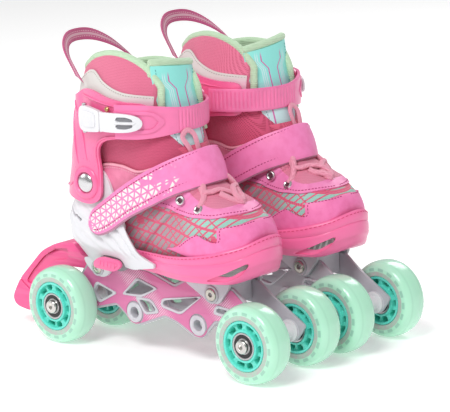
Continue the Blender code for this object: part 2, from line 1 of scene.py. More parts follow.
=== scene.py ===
"""The look of a pair of children's roller skates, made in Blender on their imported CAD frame.

Every piece is shaped in one skate's own frame, in millimetres: X towards the toes from the middle
of the wheelbase, Z up from the ground, the outer side towards -Y. The left skate mirrors the right.
"""

import math

import bmesh
import bpy
from mathutils import Matrix, Vector


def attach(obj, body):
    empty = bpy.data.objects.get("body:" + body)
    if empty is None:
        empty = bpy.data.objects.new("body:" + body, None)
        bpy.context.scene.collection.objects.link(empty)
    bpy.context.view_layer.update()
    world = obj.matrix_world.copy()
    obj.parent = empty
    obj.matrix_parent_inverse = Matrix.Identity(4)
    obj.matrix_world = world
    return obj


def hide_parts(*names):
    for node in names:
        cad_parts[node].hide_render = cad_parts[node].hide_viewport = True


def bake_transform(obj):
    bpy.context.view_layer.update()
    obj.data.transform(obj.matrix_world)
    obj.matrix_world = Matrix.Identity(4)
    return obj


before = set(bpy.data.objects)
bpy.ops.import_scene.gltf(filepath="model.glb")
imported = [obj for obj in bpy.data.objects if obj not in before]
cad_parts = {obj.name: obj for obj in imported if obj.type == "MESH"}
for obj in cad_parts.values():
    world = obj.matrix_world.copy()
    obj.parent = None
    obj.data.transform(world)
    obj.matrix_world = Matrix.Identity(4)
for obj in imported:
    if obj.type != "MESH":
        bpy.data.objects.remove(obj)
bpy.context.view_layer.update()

MM = 0.001
TOE_IN = math.radians(1.54)
SKATE_X = 22.03
SKATE_Y = 55.0
PLACES = {
    "right": Matrix.Translation(
        (SKATE_X * MM, -SKATE_Y * MM, 0)
    ) @ Matrix.Rotation(TOE_IN, 4, "Z") @ Matrix.Diagonal((MM, MM, MM, 1)),
    "left": Matrix.Translation(
        (SKATE_X * MM, SKATE_Y * MM, 0)
    ) @ Matrix.Rotation(-TOE_IN, 4, "Z") @ Matrix.Diagonal((MM, -MM, MM, 1)),
}

# ---------------------------------------------------------------- camera, floor and light


def aim_camera():
    azimuth, elevation, roll = math.radians(41.683), math.radians(12.983), math.radians(-1.894)
    back = Vector(
        (
            math.sin(azimuth) * math.cos(elevation), -math.cos(azimuth) * math.cos(elevation),
            math.sin(elevation)
        )
    )
    level = Vector((math.cos(azimuth), math.sin(azimuth), 0))
    over = back.cross(level)
    right = level * math.cos(roll) + over * math.sin(roll)
    up = over * math.cos(roll) - level * math.sin(roll)
    place = back * 2044.65 + right * -1.221 + up * 108.192 + Vector((0, 55.04, 0))
    turn = Matrix.Rotation(TOE_IN, 4, "Z")
    stand = Matrix.Translation(Vector((SKATE_X, -SKATE_Y, 0)) * MM) @ turn
    camera = bpy.data.objects.new("camera", bpy.data.cameras.new("camera"))
    bpy.context.scene.collection.objects.link(camera)
    axes = Matrix((right, up, back)).transposed().to_4x4()
    camera.matrix_world = stand @ Matrix.Translation(place * MM) @ axes
    camera.data.lens = 197.48
    camera.data.sensor_width = 36.0
    camera.data.clip_start = 0.05
    camera.data.clip_end = 50.0
    bpy.context.scene.camera = camera


def soft_light(name, place, aim, size, power):
    lamp = bpy.data.lights.new(name, "AREA")
    lamp.shape = "DISK"
    lamp.size = size
    lamp.energy = power
    made = bpy.data.objects.new(name, lamp)
    bpy.context.scene.collection.objects.link(made)
    made.location = place
    made.rotation_euler = (Vector(aim) - Vector(place)).to_track_quat("-Z", "Y").to_euler()


def studio():
    bpy.context.scene.view_settings.view_transform = "Standard"
    world = bpy.data.worlds.new("studio")
    bpy.context.scene.world = world
    world.use_nodes = True
    sky = world.node_tree.nodes["Background"]
    sky.inputs["Color"].default_value = (1.0, 1.0, 1.0, 1.0)
    sky.inputs["Strength"].default_value = 0.42
    soft_light("key_light", (0.5, -1.3, 1.7), (0, 0, 0.1), 0.9, 25)
    soft_light("fill_light", (-1.4, -1.0, 0.9), (0, 0, 0.1), 1.2, 6)
    soft_light("rim_light", (-0.4, 1.4, 1.3), (0, 0, 0.12), 1.0, 11)
    floor = bpy.data.objects.new("floor", bpy.data.meshes.new("floor"))
    floor.data.from_pydata([(-6, -6, 0), (6, -6, 0), (6, 6, 0), (-6, 6, 0)], [], [(0, 1, 2, 3)])
    bpy.context.scene.collection.objects.link(floor)
    pale = bpy.data.materials.new("floor")
    pale.use_nodes = True
    shader = pale.node_tree.nodes["Principled BSDF"]
    shader.inputs["Base Color"].default_value = (0.94, 0.94, 0.94, 1)
    shader.inputs["Roughness"].default_value = 0.7
    shader.inputs["Emission Color"].default_value = (1, 1, 1, 1)
    shader.inputs["Emission Strength"].default_value = 0.3
    floor.data.materials.append(pale)


aim_camera()
studio()

# ---------------------------------------------------------------- materials


class Look:
    """A procedural material. Its patterns are laid out in the piece's own millimetres."""

    def __init__(self, name, **sockets):
        self.material = bpy.data.materials.new(name)
        self.material.use_nodes = True
        self.nodes = self.material.node_tree.nodes
        self.links = self.material.node_tree.links
        self.shader = self.nodes["Principled BSDF"]
        for socket, value in sockets.items():
            self.shader.inputs[socket.replace("_", " ")].default_value = value
        place = self.nodes.new("ShaderNodeAttribute")
        place.attribute_name = "local"
        self.place = place.outputs["Vector"]
        split = self.nodes.new("ShaderNodeSeparateXYZ")
        self.links.new(self.place, split.inputs[0])
        self.x, self.y, self.z = split.outputs

    def put(self, socket, value):
        if isinstance(value, bpy.types.NodeSocket):
            self.links.new(value, socket)
        else:
            socket.default_value = value

    def node(self, kind, inputs, output=0, **settings):
        made = self.nodes.new("ShaderNode" + kind)
        for key, value in settings.items():
            setattr(made, key, value)
        for key, value in inputs.items():
            self.put(made.inputs[key], value)
        return made.outputs[output]

    def math(self, operation, *values):
        return self.node("Math", dict(enumerate(values)), operation=operation)

    def add(self, *values):
        total = values[0]
        for value in values[1:]:
            total = self.math("ADD", total, value)
        return total

    def times(self, *values):
        total = values[0]
        for value in values[1:]:
            total = self.math("MULTIPLY", total, value)
        return total

    def less(self, a, b):
        return self.math("SUBTRACT", a, b)

    def step(self, value, low, high):
        """Rises smoothly from 0 to 1 as the value goes from low to high."""
        return self.node("MapRange", {0: value, 1: low, 2: high}, interpolation_type="SMOOTHSTEP")

    def band(self, value, low, high, soft):
        rise = self.step(value, low - soft, low + soft)
        fall = self.step(value, high + soft, high - soft)
        return self.times(rise, fall)

    def wave(self, value, period):
        """A sine of this period, from 0 to 1."""
        turn = self.math("SINE", self.times(value, 2 * math.pi / period))
        return self.math("MULTIPLY_ADD", turn, 0.5, 0.5)

    def tooth(self, value, period):
        """Rises from 0 to 1 once a period."""
        return self.math("FRACT", self.times(value, 1.0 / period))

    def noise(self, scale, detail=2.0, place=None):
        return self.node("TexNoise", {"Vector": place or self.place, "Scale": scale, "Detail": detail})

    def cells(self, scale, place=None, output="Distance", feature="F1"):
        return self.node(
            "TexVoronoi", {"Vector": place or self.place, "Scale": scale}, output, feature=feature
        )

    def join(self, x, y, z=0.0):
        return self.node("CombineXYZ", {0: x, 1: y, 2: z})

    def mix(self, factor, a, b):
        """Blends two colours, given as (r, g, b) or as sockets."""
        pair = [(*c, 1.0) if isinstance(c, tuple) else c for c in (a, b)]
        return self.node("Mix", {0: factor, 6: pair[0], 7: pair[1]}, 2, data_type="RGBA")

    def colour(self, value):
        self.put(self.shader.inputs["Base Color"], value)

    def rough(self, value):
        self.put(self.shader.inputs["Roughness"], value)

    def bump(self, height, depth, strength=1.0):
        """Raises the surface by the height, from 0 to 1, times the depth in millimetres."""
        made = self.node("Bump", {"Height": height, "Distance": depth * MM, "Strength": strength})
        self.put(self.shader.inputs["Normal"], made)


def around(look):
    """The distance from the Y axis and the turn about it, on a wheel's own place."""
    radius = look.math("SQRT", look.add(look.times(look.x, look.x), look.times(look.z, look.z)))
    return radius, look.math("ARCTAN2", look.z, look.x)


def moulded(name, light, dark, roughness=0.32, coat=0.15, grain=0.5, depth=0.03):
    """Moulded plastic: a faint cloudiness in the colour, a fine grain and uneven gloss."""
    look = Look(name, Coat_Weight=coat, Coat_Roughness=0.2)
    cloud = look.noise(0.05, 3.0)
    look.colour(look.mix(look.step(cloud, 0.35, 0.7), light, dark))
    look.rough(look.math("MULTIPLY_ADD", look.noise(0.6, 2.0), 0.14, roughness - 0.07))
    look.bump(look.noise(grain, 3.0), depth)
    return look


def steel(name, tint=(0.62, 0.62, 0.63), roughness=0.25):
    look = Look(name, Metallic=1.0)
    radius, turn = around(look)
    rings = look.noise(
        1.0, 3.0, look.join(look.times(radius, 6.0), look.times(turn, 0.4), look.times(look.y, 6.0))
    )
    look.colour(look.mix(rings, tuple(c * 0.8 for c in tint), tint))
    look.rough(look.math("MULTIPLY_ADD", rings, 0.2, roughness - 0.1))
    look.bump(rings, 0.02)
    return look


PINK = (0.93, 0.16, 0.37)
PINK_SHADE = tuple(c * 0.93 for c in PINK)
STRAP = (0.95, 0.21, 0.45)
LIGHT_GREY = (0.62, 0.62, 0.66)
MINT = (0.46, 0.83, 0.62)
TEAL = (0.14, 0.76, 0.63)


def tyre_look():
    """Translucent urethane, with the hub's lugs showing through as a ring of dashes."""
    look = Look(
        "mint_urethane", Subsurface_Weight=0.35, Subsurface_Scale=0.006, Coat_Weight=0.3, Coat_Roughness=0.12
    )
    look.shader.inputs["Subsurface Radius"].default_value = (0.8, 1.0, 0.8)
    radius, turn = around(look)
    dash = look.tooth(look.add(turn, math.pi), 2 * math.pi / 17)
    lugs = look.times(look.band(dash, 0.22, 0.78, 0.04), look.band(radius, 24.9, 27.4, 0.25))
    face = look.times(look.band(radius, 20.0, 24.4, 0.5), look.step(look.math("ABSOLUTE", look.y), 9.0, 11.0))
    specks = look.step(look.noise(0.55, 3.0), 0.42, 0.6)
    body = look.mix(look.noise(0.08, 2.0), MINT, (0.5, 0.86, 0.66))
    deep = look.mix(look.times(face, 0.75), body, look.mix(specks, (0.42, 0.5, 0.44), (0.52, 0.38, 0.42)))
    shown = look.mix(look.times(lugs, 0.55), deep, (0.24, 0.46, 0.38))
    edge = look.band(radius, 31.2, 31.6, 0.15)
    look.colour(look.mix(look.times(edge, 0.3), shown, (0.35, 0.68, 0.5)))
    look.rough(look.math("MULTIPLY_ADD", look.noise(0.3, 3.0), 0.18, 0.12))
    look.bump(look.noise(0.25, 3.0), 0.06)
    return look


def bearing_look():
    """Steel rings with a black rubber shield between them."""
    look = Look("bearing_faces")
    radius, _ = around(look)
    shield = look.band(radius, 6.4, 9.4, 0.12)
    rings = look.wave(radius, 0.35)
    look.colour(
        look.mix(shield, look.mix(rings, (0.45, 0.45, 0.46), (0.62, 0.62, 0.62)), (0.012, 0.012, 0.013))
    )
    look.put(look.shader.inputs["Metallic"], look.math("SUBTRACT", 1.0, shield))
    look.rough(look.math("MULTIPLY_ADD", rings, 0.12, 0.22))
    look.bump(look.noise(2.0, 2.0), 0.02)
    return look


# ---------------------------------------------------------------- making meshes


def object_of(mesh, name="piece"):
    made = bpy.data.objects.new(name, mesh)
    bpy.context.scene.collection.objects.link(made)
    return made


def from_faces(points, faces):
    mesh = bpy.data.meshes.new("piece")
    mesh.from_pydata([tuple(p) for p in points], [], faces)
    mesh.update()
    return object_of(mesh)


def outwards(obj):
    bm = bmesh.new()
    bm.from_mesh(obj.data)
    bmesh.ops.remove_doubles(bm, verts=bm.verts, dist=1e-4)
    bmesh.ops.recalc_face_normals(bm, faces=bm.faces)
    bm.to_mesh(obj.data)
    bm.free()
    return obj


def baked(obj):
    """Applies the object's modifiers and its own transform."""
    bpy.context.view_layer.update()
    graph = bpy.context.evaluated_depsgraph_get()
    mesh = bpy.data.meshes.new_from_object(
        obj.evaluated_get(graph), preserve_all_data_layers=True, depsgraph=graph
    )
    mesh.transform(obj.matrix_world)
    bpy.data.objects.remove(obj, do_unlink=True)
    return object_of(mesh)


def changed(obj, kind, **settings):
    """Adds one modifier and applies it."""
    modifier = obj.modifiers.new("change", kind)
    for key, value in settings.items():
        setattr(modifier, key, value)
    return baked(obj)


def edges_rounded(obj, width, segments=2, angle=30):
    return changed(
        obj, "BEVEL", width=width, segments=segments, limit_method="ANGLE", angle_limit=math.radians(angle),
        harden_normals=False
    )


def thick(obj, thickness, offset=-1.0):
    return changed(obj, "SOLIDIFY", thickness=thickness, offset=offset, use_even_offset=True)


def sheet_of(rows, ring=False):
    """A surface over rows of points, with its distances along and across as a UV map."""
    count = len(rows[0])
    points = [Vector(p) for row in rows for p in row]
    faces, turns = [], []
    across = [0.0]
    for low, high in zip(rows, rows[1:]):
        middle = count // 2
        across.append(across[-1] + (Vector(high[middle]) - Vector(low[middle])).length)
    along = []
    for row in rows:
        reach = [0.0]
        for a, b in zip(row, list(row[1:]) + [row[0]]):
            reach.append(reach[-1] + (Vector(b) - Vector(a)).length)
        along.append(reach)
    for r in range(len(rows) - 1):
        for c in range(count if ring else count - 1):
            n = (c + 1) % count
            faces.append((r * count + c, r * count + n, (r + 1) * count + n, (r + 1) * count + c))
            turns += [
                (along[r][c], across[r]), (along[r][c + 1], across[r]), (along[r + 1][c + 1], across[r + 1]),
                (along[r + 1][c], across[r + 1])
            ]
    obj = from_faces(points, faces)
    layer = obj.data.uv_layers.new(name="lay")
    for loop, (u, v) in zip(layer.data, turns):
        loop.uv = (u, v)
    return obj


def turned(profile, steps=48, closed=True):
    """A profile of (radius, y) points, turned about the Y axis."""
    rows = []
    for r, y in (profile + profile[:1]) if closed else profile:
        radius = max(r, 0.001)
        rows.append(
            [
                (
                    radius * math.cos(2 * math.pi * k / steps), y, radius * math.sin(2 * math.pi * k / steps)
                ) for k in range(steps)
            ]
        )
    return outwards(sheet_of(rows, ring=True))


def plate_of(outline, y_low, y_high, holes=(), round_by=0.0):
    """A flat solid: an outline of (x, z) points with holes, from y_low to y_high."""
    curve = bpy.data.curves.new("outline", "CURVE")
    curve.dimensions = "2D"
    curve.fill_mode = "BOTH"
    curve.extrude = (y_high - y_low) / 2
    for loop in (outline, *holes):
        spline = curve.splines.new("POLY")
        spline.points.add(len(loop) - 1)
        for point, (x, z) in zip(spline.points, loop):
            point.co = (x, z, 0.0, 1.0)
        spline.use_cyclic_u = True
    obj = object_of(curve)
    obj.rotation_euler = (math.pi / 2, 0.0, 0.0)
    obj.location = (0.0, (y_low + y_high) / 2, 0.0)
    obj = outwards(baked(obj))
    return edges_rounded(obj, round_by) if round_by else obj


def cut(first, others, operation="DIFFERENCE"):
    for other in others:
        modifier = first.modifiers.new("combine", "BOOLEAN")
        modifier.operation = operation
        modifier.object = other
        modifier.solver = "EXACT"
    first = baked(first)
    for other in others:
        bpy.data.objects.remove(other, do_unlink=True)
    return first


def joined(objects):
    """One object from several, whose materials stay with their faces."""
    bm = bmesh.new()
    layer_names = {layer.name for obj in objects for layer in obj.data.uv_layers}
    finishes = []
    for obj in objects:
        offset = []
        for material in obj.data.materials:
            if material not in finishes:
                finishes.append(material)
            offset.append(finishes.index(material))
        if layer_names and not obj.data.uv_layers:
            obj.data.uv_layers.new(name="lay")
        start = len(bm.faces)
        bm.from_mesh(obj.data)
        bm.faces.ensure_lookup_table()
        for k in range(start, len(bm.faces)):
            face = bm.faces[k]
            if offset:
                face.material_index = offset[min(face.material_index, len(offset) - 1)]
    mesh = bpy.data.meshes.new("piece")
    bm.to_mesh(mesh)
    bm.free()
    for material in finishes:
        mesh.materials.append(material)
    for obj in objects:
        bpy.data.objects.remove(obj, do_unlink=True)
    return object_of(mesh)


def frames_along(points, up=None):
    """For each point of a path: the way across and the way up."""
    points = [Vector(p) for p in points]
    made = []
    carried = Vector(up) if up else None
    for k, here in enumerate(points):
        ahead = points[min(k + 1, len(points) - 1)] - points[max(k - 1, 0)]
        ahead.normalize()
        if carried is None:
            carried = Vector((0, 0, 1)) if abs(ahead.z) < 0.9 else Vector((1, 0, 0))
        side = ahead.cross(carried).normalized()
        over = side.cross(ahead).normalized()
        if up is None:
            carried = over
        made.append((here, side, over))
    return made


def tube(points, radius, sides=8, flat=1.0, ups=None):
    """A rounded cord along a path, closed at both ends."""
    points = [Vector(p) for p in points]
    rows = []
    count = len(points)
    for k, (here, side, over) in enumerate(frames_along(points)):
        if ups:
            ahead = (points[min(k + 1, count - 1)] - points[max(k - 1, 0)]).normalized()
            side = ahead.cross(Vector(ups[k])).normalized()
            over = side.cross(ahead).normalized()
        size = radius[k] if isinstance(radius, (list, tuple)) else radius
        rows.append(
            [
                here + side * size * math.cos(
                    2 * math.pi * s / sides
                ) + over * size * flat * math.sin(2 * math.pi * s / sides) for s in range(sides)
            ]
        )
    rows = [[points[0]] * sides, *rows, [points[-1]] * sides]
    return outwards(sheet_of(rows, ring=True))


def smoothed(points, steps):
    """A smooth curve through the points, with this many stretches between each two."""
    points = [Vector(p) for p in points]
    ends = [2 * points[0] - points[1], *points, 2 * points[-1] - points[-2]]
    curve = []
    for a, b, c, d in zip(ends, ends[1:], ends[2:], ends[3:]):
        for k in range(steps):
            t = k / steps
            curve.append(
                0.5 * (
                    2 * b + (c - a) * t + (2 * a - 5 * b + 4 * c - d) * t**2 + (3 * b - a - 3 * c + d) * t**3
                )
            )
    curve.append(points[-1])
    return curve


def evenly(points, spacing):
    """Points at equal distances along a path."""
    points = [Vector(p) for p in points]
    lengths = [(b - a).length for a, b in zip(points, points[1:])]
    total = sum(lengths)
    count = max(1, round(total / spacing))
    made = []
    for k in range(count + 1):
        left = total * k / count
        for a, b, length in zip(points, points[1:], lengths):
            if left <= length or b is points[-1]:
                made.append(a.lerp(b, min(1.0, left / length) if length else 0.0))
                break
            left -= length
    return made


def stitches(path, length=1.9, gap=1.0, radius=0.28, lift=0.15, out=None):
    """A row of thread stitches along a path, each sunk at its ends."""
    spots = evenly(path, length + gap)
    rows = []
    for k in range(len(spots) - 1):
        a = spots[k]
        b = a.lerp(spots[k + 1], length / (length + gap))
        rise = (out(a.lerp(b, 0.5)) if out else Vector((0, 0, 1))) * lift
        rows.append(
            tube(
                [a, a.lerp(b, 0.2) + rise, a.lerp(b, 0.8) + rise, b],
                [radius * 0.5, radius, radius, radius * 0.5], 5
            )
        )
    return joined(rows)


def rounded(points, radius, steps=4):
    """A closed outline whose corners are rounded off."""
    outline = []
    count = len(points)
    for k in range(count):
        before, here, after = (Vector(points[(k + d) % count]) for d in (-1, 0, 1))
        start = here + (before - here).normalized() * min(radius, (before - here).length * 0.48)
        end = here + (after - here).normalized() * min(radius, (after - here).length * 0.48)
        for step in range(steps + 1):
            t = step / steps
            outline.append(tuple(start * (1 - t) ** 2 + here * 2 * t * (1 - t) + end * t**2))
    return outline


def circle(x, z, radius, count=32):
    return [
        (
            x + radius * math.cos(2 * math.pi * k / count), z + radius * math.sin(2 * math.pi * k / count)
        ) for k in range(count)
    ]


def offset(points, distance):
    """A closed outline moved outwards by a distance, or inwards if that is negative."""
    area = sum(a[0] * b[1] - b[0] * a[1] for a, b in zip(points, points[1:] + points[:1]))
    way = 1.0 if area > 0 else -1.0
    made = []
    count = len(points)
    for k in range(count):
        before, here, after = (Vector(points[(k + d) % count]) for d in (-1, 0, 1))
        one, two = (here - before), (after - here)
        if one.length < 1e-6 or two.length < 1e-6:
            continue
        one.normalize()
        two.normalize()
        normal_one, normal_two = Vector((one.y, -one.x)) * way, Vector((two.y, -two.x)) * way
        bisector = normal_one + normal_two
        bisector /= max(bisector.length_squared / 2, 0.35)
        made.append(tuple(here + bisector * distance))
    return made


def eased(t):
    t = min(1.0, max(0.0, t))
    return t * t * (3 - 2 * t)


def curve_at(x, table):
    """Reads a smooth value at x from (x, value) pairs in rising order."""
    if x <= table[0][0]:
        return table[0][1]
    if x >= table[-1][0]:
        return table[-1][1]
    k = max(i for i in range(len(table) - 1) if table[i][0] <= x)
    slopes = []
    for i in (k, k + 1):
        low, high = table[max(i - 1, 0)], table[min(i + 1, len(table) - 1)]
        slopes.append((high[1] - low[1]) / (high[0] - low[0]))
    (x0, v0), (x1, v1) = table[k], table[k + 1]
    width = x1 - x0
    t = (x - x0) / width
    return (v0 * (2 * t**3 - 3 * t**2 + 1) + slopes[0] * width * (t**3 - 2 * t**2 + t)
            + v1 * (3 * t**2 - 2 * t**3) + slopes[1] * width * (t**3 - t**2))


def fit(
    obj, name, body, look=None, replaces=(), sides=("right", "left"),
    at=(0.0, 0.0, 0.0), smooth=38.0, bend=None, own_frame=False,
):
    """Puts a finished piece of one skate on both skates: names it, gives it its material and its body.

    at moves it to its place; own_frame keeps its patterns in its own frame instead of the skate's.
    bend is given for fabric that crosses a joint: the piece then stays out of every body, fixed in the world;
    the bodies and points in it are not used.
    """
    made = []
    source = obj.data
    if look is not None:
        source.materials.clear()
        source.materials.append(look.material)
    source.shade_smooth()
    source.set_sharp_from_angle(angle=math.radians(smooth))
    for side in sides:
        mesh = source.copy()
        if not own_frame:
            mesh.transform(Matrix.Translation(at))
        local = mesh.attributes.new("local", "FLOAT_VECTOR", "POINT")
        local.data.foreach_set("vector", [c for v in mesh.vertices for c in v.co])
        if own_frame:
            mesh.transform(Matrix.Translation(at))
        mesh.transform(PLACES[side])
        if side == "left":
            mesh.flip_normals()
        piece = object_of(mesh, f"{side}_{name}")
        if bend:
            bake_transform(piece)
        else:
            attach(piece, body if body == "frames" else f"{side}_{body}")
        for node in replaces:
            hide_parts(f"{side}_{node}")
        made.append(piece)
    bpy.data.objects.remove(obj, do_unlink=True)
    return made


# ---------------------------------------------------------------- wheels and axles

AXLE_X, AXLE_Z = 103.5, 32.0
WHEEL_Y = 30.5
SPARE_X = 34.5


def tyre():
    profile = []
    for k in range(25):
        a = math.radians(-90 + 7.5 * k)
        profile.append(
            (
                24.6 + 7.4 * abs(math.cos(a)) ** 0.75,
                12.0 * math.copysign(abs(math.sin(a)) ** 0.8, math.sin(a))
            )
        )
    profile = [(20.4, -11.4), (21.0, -11.9), *profile[1:-1], (21.0, 11.9), (20.4, 11.4)]
    return turned(profile, 72)


def hub():
    rim = turned(
        [
            (20.2, -11.5), (19.9, -11.9), (18.3, -11.6), (17.9, -10.5), (17.9, 10.5), (18.3, 11.6),
            (19.9, 11.9), (20.2, 11.5)
        ],
        60
    )
    seat = turned(
        [
            (11.3, -11.6), (11.6, -11.9), (12.9, -11.7), (13.4, -10.8), (13.4, 10.8), (12.9, 11.7),
            (11.6, 11.9), (11.3, 11.6)
        ],
        60
    )
    core = turned([(7.6, -4.2), (12.0, -4.2), (12.0, 4.2), (7.6, 4.2)], 40)
    spokes = []
    for k in range(5):
        middle = 2 * math.pi * k / 5 + 0.3
        for swing, width, deep in ((0.0, 2.2, 10.2), (0.62, 1.5, 9.0)):
            a = middle + swing
            fan = [(12.6, width * 1.35), (15.3, width * 0.75), (18.6, width * 1.5)]
            left = [(r * math.cos(a) - w * math.sin(a), r * math.sin(a) + w * math.cos(a)) for r, w in fan]
            right = [
                (r * math.cos(a) + w * math.sin(a), r * math.sin(a) - w * math.cos(a)) for r,
                w in reversed(fan)
            ]
            spokes.append(plate_of(left + right, -deep, deep, round_by=0.5))
    web = turned([(12.8, -3.0), (18.4, -3.0), (18.4, 3.0), (12.8, 3.0)], 40)
    return joined([rim, seat, core, web, *spokes])


def bearing_faces():
    """Both bearings of a wheel: outer ring, sunk shield, inner ring, and the sleeve between them."""
    side = [
        (4.1, 11.4), (4.4, 11.7), (6.0, 11.7), (6.3, 11.2), (9.4, 11.2), (9.7, 11.7), (10.8, 11.7),
        (11.1, 11.3), (11.1, 4.6), (6.2, 4.6)
    ]
    return turned(side + [(r, -y) for r, y in reversed(side)], 40)


def bolt_head(radius, height, socket, turn=0.3):
    """A round bolt head that faces -Y, with a hexagonal socket."""
    head = turned(
        [(0.0, 0.4), (radius, 0.4), (radius, -height + 0.7), (radius - 0.6, -height), (0.0, -height)], 40,
        closed=False
    )
    hole = plate_of(
        [
            (
                socket * math.cos(turn + math.pi / 3 * k), socket * math.sin(turn + math.pi / 3 * k)
            ) for k in range(6)
        ],
        -height - 1.0, -height + 2.2
    )
    return edges_rounded(cut(head, [hole]), 0.18, 1)


def wheel_set():
    urethane, teal = tyre_look(), moulded("teal_hub", TEAL, (0.1, 0.68, 0.56), 0.28, 0.2)
    races, bright = bearing_look(), steel("zinc_plate", (0.7, 0.69, 0.66), 0.22)
    spacer_white = moulded("white_spacer", (0.75, 0.75, 0.77), (0.68, 0.68, 0.7), 0.35)
    sources = {"tyre": (tyre(), urethane), "hub": (hub(), teal), "bearings": (bearing_faces(), races)}
    for end, x in (("front", AXLE_X), ("rear", -AXLE_X)):
        for edge, y in (("outer", -WHEEL_Y), ("inner", WHEEL_Y)):
            for part, (source, look) in sources.items():
                copy = object_of(source.data.copy())
                fit(
                    copy, f"{end}_{edge}_{part}_face", f"{end}_{edge}_wheel", look, [f"{end}_{edge}_{part}"],
                    at=(x, y, AXLE_Z), own_frame=True
                )
        shaft = turned([(3.9, -42.2), (3.9, 42.2), (0.0, 42.2), (0.0, -42.2)], 20, closed=False)
        heads = [bolt_head(5.5, 3.0, 2.3)]
        heads[0].data.transform(Matrix.Translation((0, -42.3, 0)))
        other = object_of(heads[0].data.copy())
        other.data.transform(Matrix.Rotation(math.pi, 4, "Z"))
        washers = [
            turned(
                [(4.1, s * 18.6), (6.9, s * 18.6), (7.0, s * 18.0), (6.9, s * 17.4), (4.1, s * 17.4)], 32
            ) for s in (-1, 1)
        ]
        fit(
            joined([shaft, heads[0], other, *washers]), f"{end}_axle_bolt", "frames", bright,
            [f"{end}_axle"], at=(x, 0, AXLE_Z), own_frame=True
        )
        half = [(4.0, 13.5), (8.6, 13.5), (8.9, 13.2), (8.9, 12.0), (8.3, 11.6), (6.1, 11.4), (6.0, 10.8)]
        spacer = turned([(r, -y) for r, y in half] + half[::-1], 40)
        fit(spacer, f"{end}_spacer_tube", "frames", spacer_white, at=(x, 0, AXLE_Z), own_frame=True)
    for source, _ in sources.values():
        bpy.data.objects.remove(source, do_unlink=True)


wheel_set()

# ---------------------------------------------------------------- frame plates, bracket and brake

PLATE_OUT, PLATE_IN = 17.0, 14.0
FRAME_OUTLINE = [
    (-113.0, 30.0), (-109.0, 41.0), (-92.0, 59.0), (-84.0, 70.3), (-18.5, 70.3),
    (10.0, 61.5), (22.0, 68.0), (72.0, 68.0), (85.0, 58.0), (119.5, 37.6), (110.0, 24.0),
    (96.0, 24.5), (66.0, 38.0), (53.0, 37.0), (39.0, 22.0), (29.0, 22.0), (12.0, 30.0),
    (-1.0, 33.0), (-28.0, 22.0), (-38.0, 23.0), (-55.0, 35.0), (-77.0, 28.6), (-98.0, 22.0), (-109.0, 22.5),
]
FRAME_WINDOWS = [
    [(-57.0, 45.0), (-74.0, 36.0), (-80.0, 42.0), (-76.0, 50.0)],
    [(-45.0, 46.5), (-30.0, 60.0), (-11.0, 55.5), (-26.0, 48.0)],
    [(-29.5, 44.0), (-22.0, 34.0), (-10.0, 37.0), (-16.0, 44.0)],
    [(-3.0, 43.0), (-2.0, 47.0), (38.5, 56.0), (16.0, 40.0)],
    [(54.0, 46.0), (56.0, 50.0), (68.0, 49.0), (66.0, 45.0)],
]


def decal_look():
    """The printed side of the outer plate: pink with rows of fine white dots that fade downwards."""
    look = Look("printed_side", Coat_Weight=0.25, Coat_Roughness=0.15)
    slant = look.add(look.x, look.times(look.z, 0.9))
    rows = look.join(look.tooth(look.add(look.x, look.z), 2.3), look.tooth(look.less(look.x, look.z), 2.3))
    spot = look.node("VectorMath", {0: rows, 1: (0.5, 0.5, 0.0)}, 1, operation="DISTANCE")
    patch = look.step(look.math("SINE", look.times(slant, 0.075)), -0.1, 0.8)
    size = look.math("MULTIPLY_ADD", patch, 0.3, 0.08)
    dots = look.times(look.step(look.less(size, spot), 0.0, 0.06), look.step(patch, 0.05, 0.2))
    base = look.mix(look.noise(0.03, 2.0), (0.72, 0.19, 0.4), (0.66, 0.16, 0.36))
    look.colour(look.mix(look.times(dots, 0.85), base, (0.86, 0.66, 0.75)))
    look.rough(look.math("MULTIPLY_ADD", look.noise(0.5, 2.0), 0.15, 0.26))
    look.bump(dots, 0.02)
    return look


def plate_windows(grow, holes=FRAME_WINDOWS, radius=3.2):
    return [rounded(offset(window, grow), radius) for window in holes]


